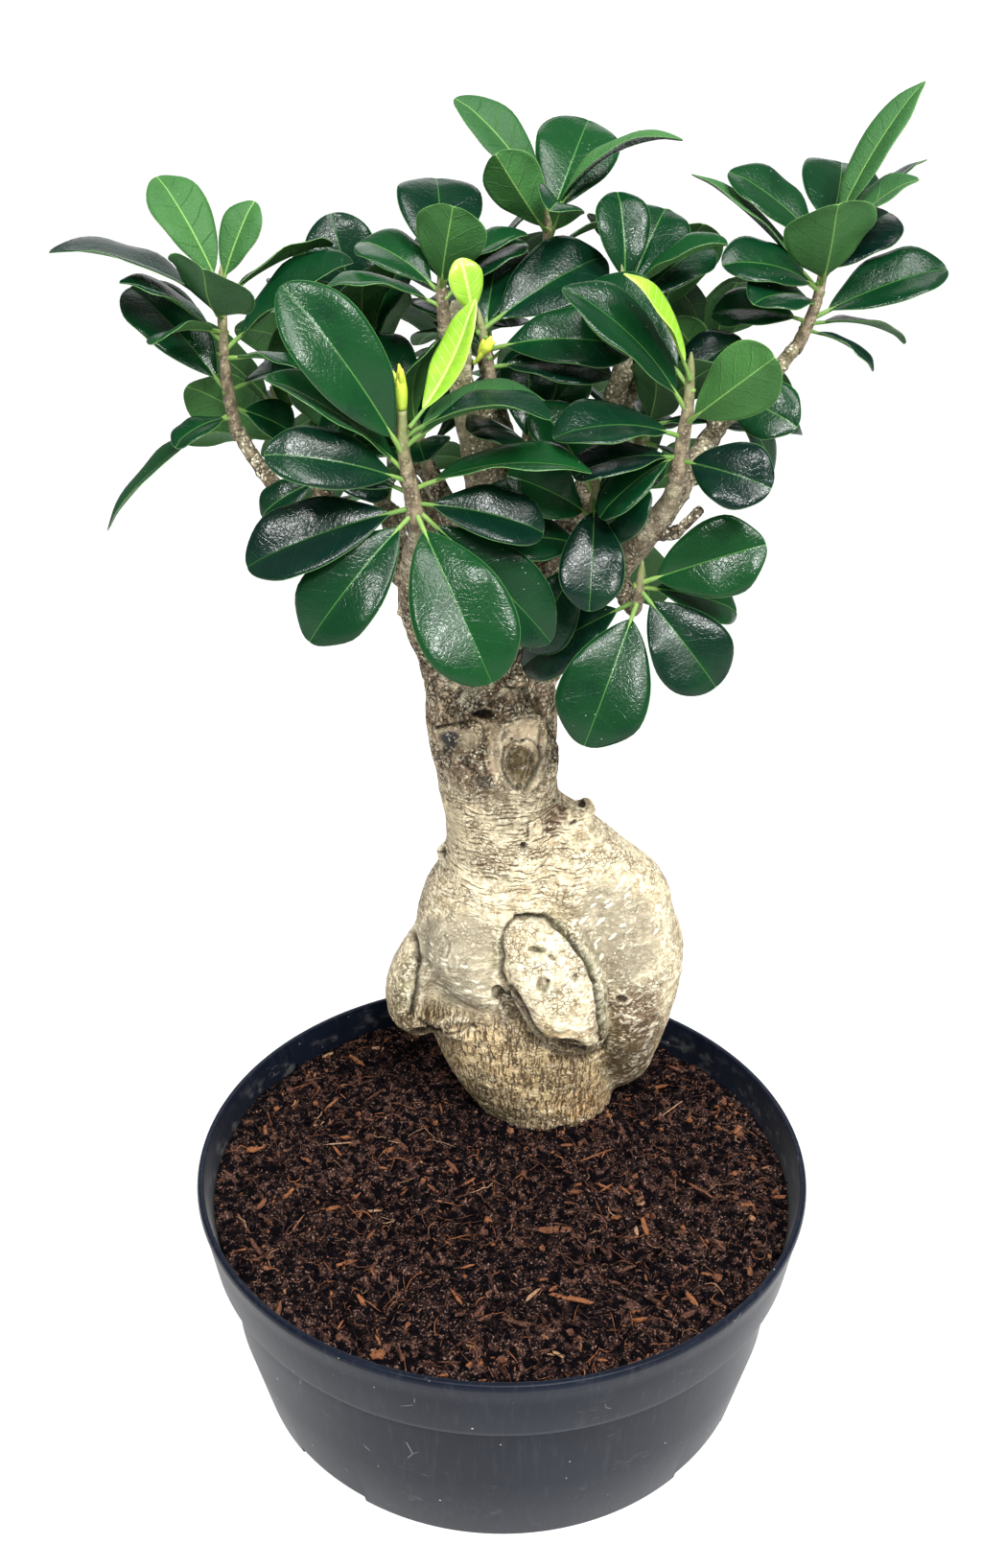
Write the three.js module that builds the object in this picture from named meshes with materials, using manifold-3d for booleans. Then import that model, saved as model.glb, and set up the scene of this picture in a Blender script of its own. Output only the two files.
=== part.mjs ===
// A ficus ginseng bonsai standing in its round plastic bowl pot.
// Millimetres, +Z up. The origin is the middle of the pot's base, on the floor.
// +X is to the right and -Y is the front, the side that shows the scarred lobe of the root.
import * as THREE from 'three';
import Module from 'manifold-3d';
import { mergeVertices } from 'three/addons/utils/BufferGeometryUtils.js';

const wasm = await Module();
wasm.setup();

// Driving dimensions of the pot and its soil
const potRadius = 135;
const potHeight = 107;
const potWall = 2.8;
const potSides = 32;
const bandHeight = 31;
const bodySpread = 11.5;
const bandStep = 5.7;
const footRadius = 113;
const floorLevel = 8;
const footHeight = 5;
const padRadius = 20;
const notchCount = 4;
const notchAngle = 50;
const notchSize = [16, 38, 8];
const drainCount = 6;
const drainRadius = 5.5;
const drainSides = 8;
const soilLevel = 92;
const soilMound = 7;
const rootPlace = { x: 22, y: 52 };

// Driving dimensions of the plant
const seatGap = 0.35;
const bladeThickness = 0.8;
const stalkShare = 0.14;
const stalkHalf = 1;
const rootDepth = 2.5;
const leafRoom = 3;
const ownLeafRoom = 1.7;
const limbRoom = 1.3;

const degree = Math.PI / 180;
const v = (x, y, z) => new THREE.Vector3(x, y, z);
const up = v(0, 0, 1);
// The side that the plant shows best: the front, seen from a little above.
const showSide = v(0, -0.906, 0.423);

// A number from 0 to 1 that depends only on its seed.
function chance(seed) {
  const wave = Math.sin(seed * 12.9898) * 43758.5453;
  return wave - Math.floor(wave);
}

// Solids and joins

function solid(points, faces) {
  let volume = 0;
  for (let i = 0; i < faces.length; i += 3) {
    const [a, b, c] = [points[faces[i]], points[faces[i + 1]], points[faces[i + 2]]];
    volume += a.dot(b.clone().cross(c));
  }
  const outward = volume > 0 ? faces : faces.slice().reverse();
  const vertProperties = new Float32Array(points.flatMap((p) => [p.x, p.y, p.z]));
  return new wasm.Manifold(new wasm.Mesh({ numProp: 3, vertProperties, triVerts: new Uint32Array(outward) }));
}

// Closed skin over rings of points, each ring running right-handed about the way forward.
// A ring of one point closes its end in a tip.
function skin(rings) {
  const starts = rings.map((ring, r) => rings.slice(0, r).reduce((sum, each) => sum + each.length, 0));
  const faces = [];
  for (let r = 0; r + 1 < rings.length; r += 1) {
    const sides = Math.max(rings[r].length, rings[r + 1].length);
    const low = (i) => starts[r] + (rings[r].length === 1 ? 0 : i % sides);
    const high = (i) => starts[r + 1] + (rings[r + 1].length === 1 ? 0 : i % sides);
    for (let i = 0; i < sides; i += 1) {
      if (rings[r].length > 1) faces.push(low(i), low(i + 1), high(i + 1));
      if (rings[r + 1].length > 1) faces.push(low(i), high(i + 1), high(i));
    }
  }
  const last = rings.length - 1;
  const [first, end] = [starts[0], starts[last]];
  for (let i = 1; i + 1 < rings[0].length; i += 1) faces.push(first, first + i + 1, first + i);
  for (let i = 1; i + 1 < rings[last].length; i += 1) faces.push(end, end + i, end + i + 1);
  return solid(rings.flat(), faces);
}

// A solid from a geometry whose corners are shared by its faces.
function solidOf(geometry) {
  geometry.deleteAttribute('normal');
  geometry.deleteAttribute('uv');
  const merged = mergeVertices(geometry, 1e-4);
  const place = merged.attributes.position;
  const points = [];
  for (let i = 0; i < place.count; i += 1) points.push(v(place.getX(i), place.getY(i), place.getZ(i)));
  return solid(points, Array.from(merged.index.array));
}

function joined(solids) {
  return solids.reduce((whole, next) => whole.add(next));
}

function mesh(name, whole, material) {
  const bodies = whole.decompose().sort((a, b) => b.volume() - a.volume());
  const { vertProperties, triVerts } = bodies[0].getMesh();
  const geometry = new THREE.BufferGeometry();
  geometry.setAttribute('position', new THREE.BufferAttribute(new Float32Array(vertProperties), 3));
  geometry.setIndex(new THREE.BufferAttribute(new Uint32Array(triVerts), 1));
  geometry.computeVertexNormals();
  const piece = new THREE.Mesh(geometry, material);
  piece.name = name;
  return piece;
}

// A ring of points round a centre, square to the way forward.
function ringAt(centre, along, sides, wide, deep, side) {
  const across = side.clone().addScaledVector(along, -side.dot(along)).normalize();
  const other = along.clone().cross(across);
  return Array.from({ length: sides }, (_, i) => {
    const angle = (2 * Math.PI * i) / sides;
    return centre
      .clone()
      .addScaledVector(across, wide * Math.cos(angle))
      .addScaledVector(other, deep * Math.sin(angle));
  });
}

// The way forward at each station of a route.
function headings(places) {
  return places.map((place, i) =>
    places[Math.min(i + 1, places.length - 1)].clone().sub(places[Math.max(i - 1, 0)]).normalize(),
  );
}

// Rings of a round limb through its stations, each [x, y, z, radius].
function limbRings(stations, sides, firstHeading = null) {
  const places = stations.map(([x, y, z]) => v(x, y, z));
  const ways = headings(places);
  if (firstHeading) ways[0] = firstHeading;
  const side = Math.abs(ways[Math.floor(ways.length / 2)].z) < 0.8 ? up : v(1, 0, 0);
  return places.map((place, i) => ringAt(place, ways[i], sides, stations[i][3], stations[i][3], side));
}

// A swollen root or lobe from level rings, each [z, x, y, wide, deep], lowest first, with domed ends.
function lobe(rings, { sides = 16, uneven = 0, grow = 0 } = {}) {
  const dome = 0.22;
  const tip = ([z, x, y, wide], way) => [v(x, y, z + way * (dome * wide + grow))];
  const skins = rings.map(([z, x, y, wide, deep], row) =>
    ringAt(v(x, y, z), up, sides, wide + grow, deep + grow, v(1, 0, 0)).map((point, i) => {
      const swell = 1 + uneven * (chance(row * 31 + i * 7 + wide) - 0.5);
      return v(x + (point.x - x) * swell, y + (point.y - y) * swell, z);
    }),
  );
  return skin([tip(rings[0], -1), ...skins, tip(rings[rings.length - 1], 1)]);
}

// An egg-shaped bump or hollow, tilted in the plane that faces the front.
function egg([x, y, z], [wide, deep, high], tilt = 0) {
  const shape = new THREE.SphereGeometry(1, 8, 5);
  shape.rotateX(Math.PI / 2);
  shape.scale(wide, deep, high);
  shape.rotateY(tilt * degree);
  shape.translate(x, y, z);
  return solidOf(shape);
}

// The pot

// Outer wall, from the foot up to the lip, as [radius, height].
const outerWall = [
  [footRadius - 3, 0],
  [footRadius, 0],
  [footRadius + 8.6, 38],
  [footRadius + bodySpread, potHeight - bandHeight],
  [footRadius + bodySpread + bandStep, potHeight - bandHeight + 1],
  [potRadius - 1.6, potHeight - 9],
  [potRadius, potHeight - 2],
  [potRadius - 0.7, potHeight],
];

// Inner wall, from the lip down to the floor.
const innerWall = [
  [potRadius - 3, potHeight],
  [potRadius - 1.6 - potWall, potHeight - 9],
  [footRadius + bodySpread + bandStep - potWall + 0.1, potHeight - bandHeight + 5],
  [footRadius + bodySpread - potWall + 0.2, potHeight - bandHeight + 3],
  [footRadius + 8.6 - potWall, 38],
  [footRadius - 2, floorLevel],
];

function pot() {
  const underside = [[0, 0], [padRadius, 0], [padRadius, footHeight], [footRadius - 3.6, footHeight]];
  const profile = [...underside, ...outerWall, ...innerWall, [0, floorLevel]];
  const shell = new THREE.LatheGeometry(profile.map(([r, z]) => new THREE.Vector2(r, z)), potSides);
  shell.rotateX(Math.PI / 2);
  let whole = solidOf(shell);
  for (let i = 0; i < notchCount; i += 1) {
    const notch = new THREE.BoxGeometry(...notchSize);
    notch.translate(footRadius, 0, 0);
    notch.rotateZ((notchAngle + (i * 360) / notchCount) * degree);
    whole = whole.subtract(solidOf(notch));
  }
  for (let i = 0; i < drainCount; i += 1) {
    const drain = new THREE.CylinderGeometry(drainRadius, drainRadius, 3 * floorLevel, drainSides);
    drain.rotateX(Math.PI / 2);
    drain.translate(0.6 * footRadius, 0, 0);
    drain.rotateZ(((i * 360) / drainCount + 30) * degree);
    whole = whole.subtract(solidOf(drain));
  }
  return whole;
}

// The soil

// Height of the soil: mounded round the root, a little higher on the left and at the front.
function soilTop(x, y) {
  const away = ((x - rootPlace.x) ** 2 + (y - rootPlace.y + 20) ** 2) / (2 * 62 ** 2);
  const crumbs = 0.7 * Math.sin(x * 0.11 + 1) * Math.cos(y * 0.13) + 0.5 * Math.sin(x * 0.23 - y * 0.19);
  return soilLevel + soilMound * Math.exp(-away) - 0.018 * x - 0.016 * y + crumbs;
}

function soil(hole) {
  const edge = (r) => r - 0.5;
  const walls = innerWall.slice(1).reverse();
  const low = walls.slice(0, -1).map(([r, z], i) => [edge(r), i === 0 ? z + seatGap : z]);
  const [under, over] = walls.slice(-2);
  const rings = low.map(([r, z]) => soilRing(r, () => z));
  const share = (soilLevel - under[1]) / (over[1] - under[1]);
  rings.push(soilRing(edge(under[0] + (over[0] - under[0]) * share) - 0.4, soilTop));
  for (const r of [94, 52]) rings.push(soilRing(r, soilTop));
  rings.push([v(0, 0, soilTop(0, 0))]);
  return skin(rings).subtract(hole);
}

function soilRing(radius, height) {
  return Array.from({ length: potSides }, (_, i) => {
    const angle = (2 * Math.PI * i) / potSides;
    const [x, y] = [radius * Math.cos(angle), radius * Math.sin(angle)];
    return v(x, y, height(x, y));
  });
}

// The root bulb and trunk, as level rings [z, x, y, wide, deep]

const rootColumn = [
  [72, 22, 52, 25, 23],
  [90, 22, 52, 30, 26],
  [112, 16, 52, 38, 31],
  [130, 13, 53, 43, 36],
  [150, 11, 54, 46, 39],
  [180, 8, 55, 48, 39],
  [198, 5, 54, 44, 36],
  [214, 3, 53, 37, 32],
  [234, 3, 51, 27.5, 29],
  [268, -2, 49, 26, 26],
  [300, -5, 49, 28, 27],
  [320, -4, 48, 24, 22],
];

const rightLobe = [
  [101, 50, 63, 14, 12],
  [110, 52, 61, 20, 19],
  [128, 55, 58, 21.5, 26],
  [152, 57.5, 55, 23.5, 32],
  [180, 58, 52, 25.5, 33],
  [200, 54, 51, 25, 29],
  [218, 50, 50, 23, 25],
  [238, 38, 48, 15, 18],
  [256, 22, 48, 9, 12],
];

const frontLobe = [
  [148, 34, 23, 11, 11],
  [155, 32, 21, 15.5, 16],
  [168, 28, 14, 18.5, 18],
  [183, 24, 14, 21.5, 18],
  [196, 22, 16, 20.5, 16],
  [206, 21, 21, 15, 11],
];

const leftFrontLobe = [
  [166, -2, 28, 8, 10],
  [176, -8, 27, 16, 15],
  [190, -13, 29, 20, 17],
  [202, -13, 32, 18, 15],
  [211, -12, 35, 12, 11],
];

const leftKnob = [
  [142, -38, 46, 7.5, 10],
  [152, -41, 44, 11, 16],
  [170, -41, 43, 11.5, 18],
  [186, -36, 46, 9, 14],
  [196, -32, 48, 5, 8],
];

// Limbs, from the trunk outwards, as [x, y, z, radius]. The sprays stand on the ends of those named.
const limbs = {
  front: [[-16, 44, 300, 13], [-24, 38, 328, 11], [-33, 28, 352, 8.5], [-33, 10, 376, 6.4],
    [-30, -18, 391, 4.8], [-30.5, -28, 401, 3.6]],
  left: [[-33, 20, 364, 6.5], [-60, 23, 384, 4.2], [-80, 26, 393, 3.6], [-93, 26, 409, 3],
    [-100, 27, 421, 2.6]],
  left_low: [[-72, 25, 388, 2.4], [-70, 21, 399, 1.7]],
  left_back: [[-60, 23, 384, 3.2], [-78, 49, 403, 2.5]],
  left_mid: [[-34, 16, 368, 4], [-49, 42, 393, 2.7]],
  stub: [[-4, 46, 310, 13], [-6, 32, 362, 9.5], [-8, 16, 404, 7], [-15, 0, 440, 4.7], [-15, -5, 471, 4.2]],
  centre: [[-10, 12, 414, 3.6], [-5, 10, 440, 2.7]],
  crown_left: [[-8, 16, 404, 4.6], [-15, 20, 440, 3.4], [-21, 15, 460, 2.7]],
  mid_left: [[-8, 28, 370, 4], [-22, 32, 392, 3.2], [-28, 30, 404, 2.6]],
  mid: [[-4, 26, 372, 4], [6, 22, 392, 3.2], [8, 18, 404, 2.6]],
  mid_right: [[27, 38, 382, 4], [50, 38, 408, 2.6]],
  top: [[4, 48, 310, 9], [8, 48, 380, 7], [14, 45, 430, 4.6], [17, 38, 476, 2.8]],
  crown_right: [[8, 47, 350, 6], [30, 40, 390, 5], [42, 26, 438, 3.6], [44, 18, 459, 2.7]],
  right_front: [[6, 46, 300, 12], [20, 40, 336, 10], [43, 20, 370, 7], [58, -5, 398, 4.8],
    [61, -13, 414, 3.2]],
  right_top: [[57, -2, 395, 4.4], [66, 2, 409, 4], [80, 18, 426, 3.4], [98, 30, 439, 2.9],
    [109, 36, 450, 2.6]],
  right_mid: [[79, 17, 425, 2.6], [78, 12, 434, 1.8]],
  right_back: [[77, 15, 422, 3], [81, 45, 431, 2.4]],
  low_right: [[42, 22, 368, 4.8], [48.5, -3, 361, 2.9]],
  broken: [[53, 5, 388, 3], [62, -6, 391, 2.2], [70, -13, 401, 1.7]],
  inner: [[14, 45, 320, 6], [26, 20, 357, 3.9], [29, 5, 374, 2.9]],
  back_left: [[-6, 52, 310, 9], [-24, 68, 362, 6.5], [-54, 93, 414, 3]],
  back: [[0, 54, 310, 8], [0, 80, 362, 6], [-4, 112, 414, 3]],
  back_right: [[4, 52, 310, 9], [28, 68, 362, 6.5], [57, 93, 412, 3]],
  low_back_left: [[-22, 66, 358, 4.4], [-43, 93, 371, 2.7]],
  low_back_right: [[26, 66, 358, 4.4], [49, 95, 370, 2.7]],
  top_back: [[8, 48, 378, 5], [0, 66, 416, 3.8], [-8, 78, 440, 2.8]],
  top_right: [[29, 40, 386, 4.4], [44, 54, 418, 3.6], [57, 65, 443, 2.7]],
  top_left: [[-6, 34, 356, 6], [-28, 48, 398, 4.2], [-48, 59, 428, 2.7]],
};

function trunk() {
  const lobes = [
    lobe(rootColumn, { sides: 14, uneven: 0.05 }),
    lobe(rightLobe, { sides: 12 }),
    lobe(frontLobe, { sides: 11 }),
    lobe(leftFrontLobe, { sides: 10 }),
    lobe(leftKnob, { sides: 10 }),
  ];
  const bumps = [
    egg([-17, 29, 152], [11, 10, 5], -6),
    egg([36, 43, 255], [5.5, 6, 6.5], 25),
    egg([27, 42, 222], [19, 20, 30], 16),
    egg([36, 42, 198], [18, 20, 28], 10),
    egg([-27, 48, 231], [2.5, 3, 5], 0),
    egg([-12, 26, 305], [8, 6, 7], 0),
    egg([10, 28, 285], [14, 7, 21], 4),
  ];
  const hollows = [
    egg([10, 20, 283], [7.5, 6, 13], 4),
    egg([22, 1, 194], [10, 3.2, 2.6], 12),
  ];
  const sidesOf = (stations) => (stations[0][3] > 8.5 ? 6 : 5);
  const wood = Object.values(limbs).map((stations) => skin(limbRings(stations, sidesOf(stations))));
  let whole = joined([...lobes, ...bumps, ...wood]);
  for (const hollow of hollows) whole = whole.subtract(hollow);
  return whole;
}

// Leaves

// Half width of a blade, from its stalk at 0 to its tip at 1. It is widest past the middle.
// A broad blade ends round, and a narrow one in a point.
function halfWidth(leaf, share) {
  const base = 0.85;
  const tip = Math.min(Math.max(1.35 - 1.9 * (leaf.width / leaf.length), 0.48), 0.8);
  const widest = base / (base + tip);
  const scale = widest ** base * (1 - widest) ** tip;
  return (0.5 * leaf.width * share ** base * Math.max(1 - share, 0) ** tip) / scale;
}

// Points across a leaf at a share of its length: its rib, and its edges lifted by the fold.
function across(leaf, share) {
  const { root, along, face, side, length, arch, fold } = leaf;
  const rise = arch * 4 * share * (1 - share);
  const rib = root.clone().addScaledVector(along, length * share).addScaledVector(face, rise);
  const slope = arch * 4 * (1 - 2 * share);
  const way = along.clone().multiplyScalar(length).addScaledVector(face, slope).normalize();
  const normal = side.clone().cross(way).normalize();
  const blade = (share - stalkShare) / (1 - stalkShare);
  const half = blade <= 0 ? stalkHalf : Math.max(halfWidth(leaf, Math.min(blade, 1)), 0);
  const reach = (part) => rib.clone()
    .addScaledVector(side, part * half * Math.cos(fold * degree))
    .addScaledVector(normal, Math.abs(part) * half * Math.sin(fold * degree));
  return { rib, normal, reach };
}

function leafSolid(leaf) {
  const shares = leaf.plain ? [stalkShare, 0.45, 0.82] : [stalkShare, 0.33, 0.61, 0.87];
  const rings = (leaf.loose ? [0, ...shares] : shares).map((share) => {
    const { rib, normal, reach } = across(leaf, share);
    const thick = 0.5 * (share <= stalkShare ? 1.5 : 1) * bladeThickness;
    const [right, left] = [reach(1), reach(-1)];
    const lift = (point, way) => point.clone().addScaledVector(normal, way * thick);
    const edges = [lift(right, 1), lift(right, -1), lift(left, -1), lift(left, 1)];
    if (leaf.plain) return edges;
    return [lift(rib, 1), edges[0], edges[1], lift(rib, -1), edges[2], edges[3]];
  });
  if (!leaf.loose) rings.unshift([leaf.root.clone().addScaledVector(leaf.along, -rootDepth)]);
  rings.push([across(leaf, 1).rib]);
  return skin(rings);
}

// Points spread over a leaf, close enough together that no other leaf passes between them.
function leafPoints(leaf) {
  const points = [];
  for (let i = 0; i <= 17; i += 1) {
    const { reach } = across(leaf, i / 17);
    const steps = i / 17 <= stalkShare ? [0] : [-1, -0.75, -0.5, -0.25, 0, 0.25, 0.5, 0.75, 1];
    for (const step of steps) {
      points.push({ place: reach(step), share: i / 17, spray: leaf.spray, host: leaf.host, room: 0 });
    }
  }
  return points;
}

// A leaf from its turn to the right of upright, its lean out to the front, both in degrees,
// and how far its upper face is turned up from the side that the plant shows.
function facingLeaf(root, turn, out, length, width, face, arch = 5, fold = 14) {
  const along = v(
    Math.sin(turn * degree) * Math.cos(out * degree),
    -Math.sin(out * degree),
    Math.cos(turn * degree) * Math.cos(out * degree),
  );
  const toFront = showSide.clone().addScaledVector(along, -showSide.dot(along)).normalize();
  const skyward = toFront.clone().cross(along);
  if (skyward.z < 0) skyward.negate();
  const upper = toFront.multiplyScalar(Math.cos(face * degree))
    .addScaledVector(skyward, Math.sin(face * degree));
  return { root, along, face: upper, length, width, arch, fold };
}

// A leaf that stands round a stem: its upper face looks along the stem, as it grew.
function stemLeaf(root, stemWay, round, spread, length, width, arch, fold) {
  const first = stemWay.clone().cross(v(0.3, 1, 0.2)).normalize();
  const second = stemWay.clone().cross(first);
  const outward = first.multiplyScalar(Math.cos(round * degree))
    .addScaledVector(second, Math.sin(round * degree));
  const along = outward.clone().multiplyScalar(Math.sin(spread * degree))
    .addScaledVector(stemWay, Math.cos(spread * degree));
  const upper = stemWay.clone().multiplyScalar(Math.sin(spread * degree))
    .addScaledVector(outward, -Math.cos(spread * degree));
  return { root, along, face: upper, length, width, arch, fold };
}

// A leaf swung sideways, pitched up or down and rolled about its rib.
function bent(leaf, swing, pitch, roll) {
  const side = leaf.along.clone().cross(leaf.face).normalize();
  const along = leaf.along.clone()
    .applyAxisAngle(leaf.face, swing * degree)
    .applyAxisAngle(side, pitch * degree);
  const face = leaf.face.clone().applyAxisAngle(side, pitch * degree).applyAxisAngle(along, roll * degree);
  face.addScaledVector(along, -face.dot(along)).normalize();
  return { ...leaf, along, face, side: along.clone().cross(face) };
}

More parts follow.
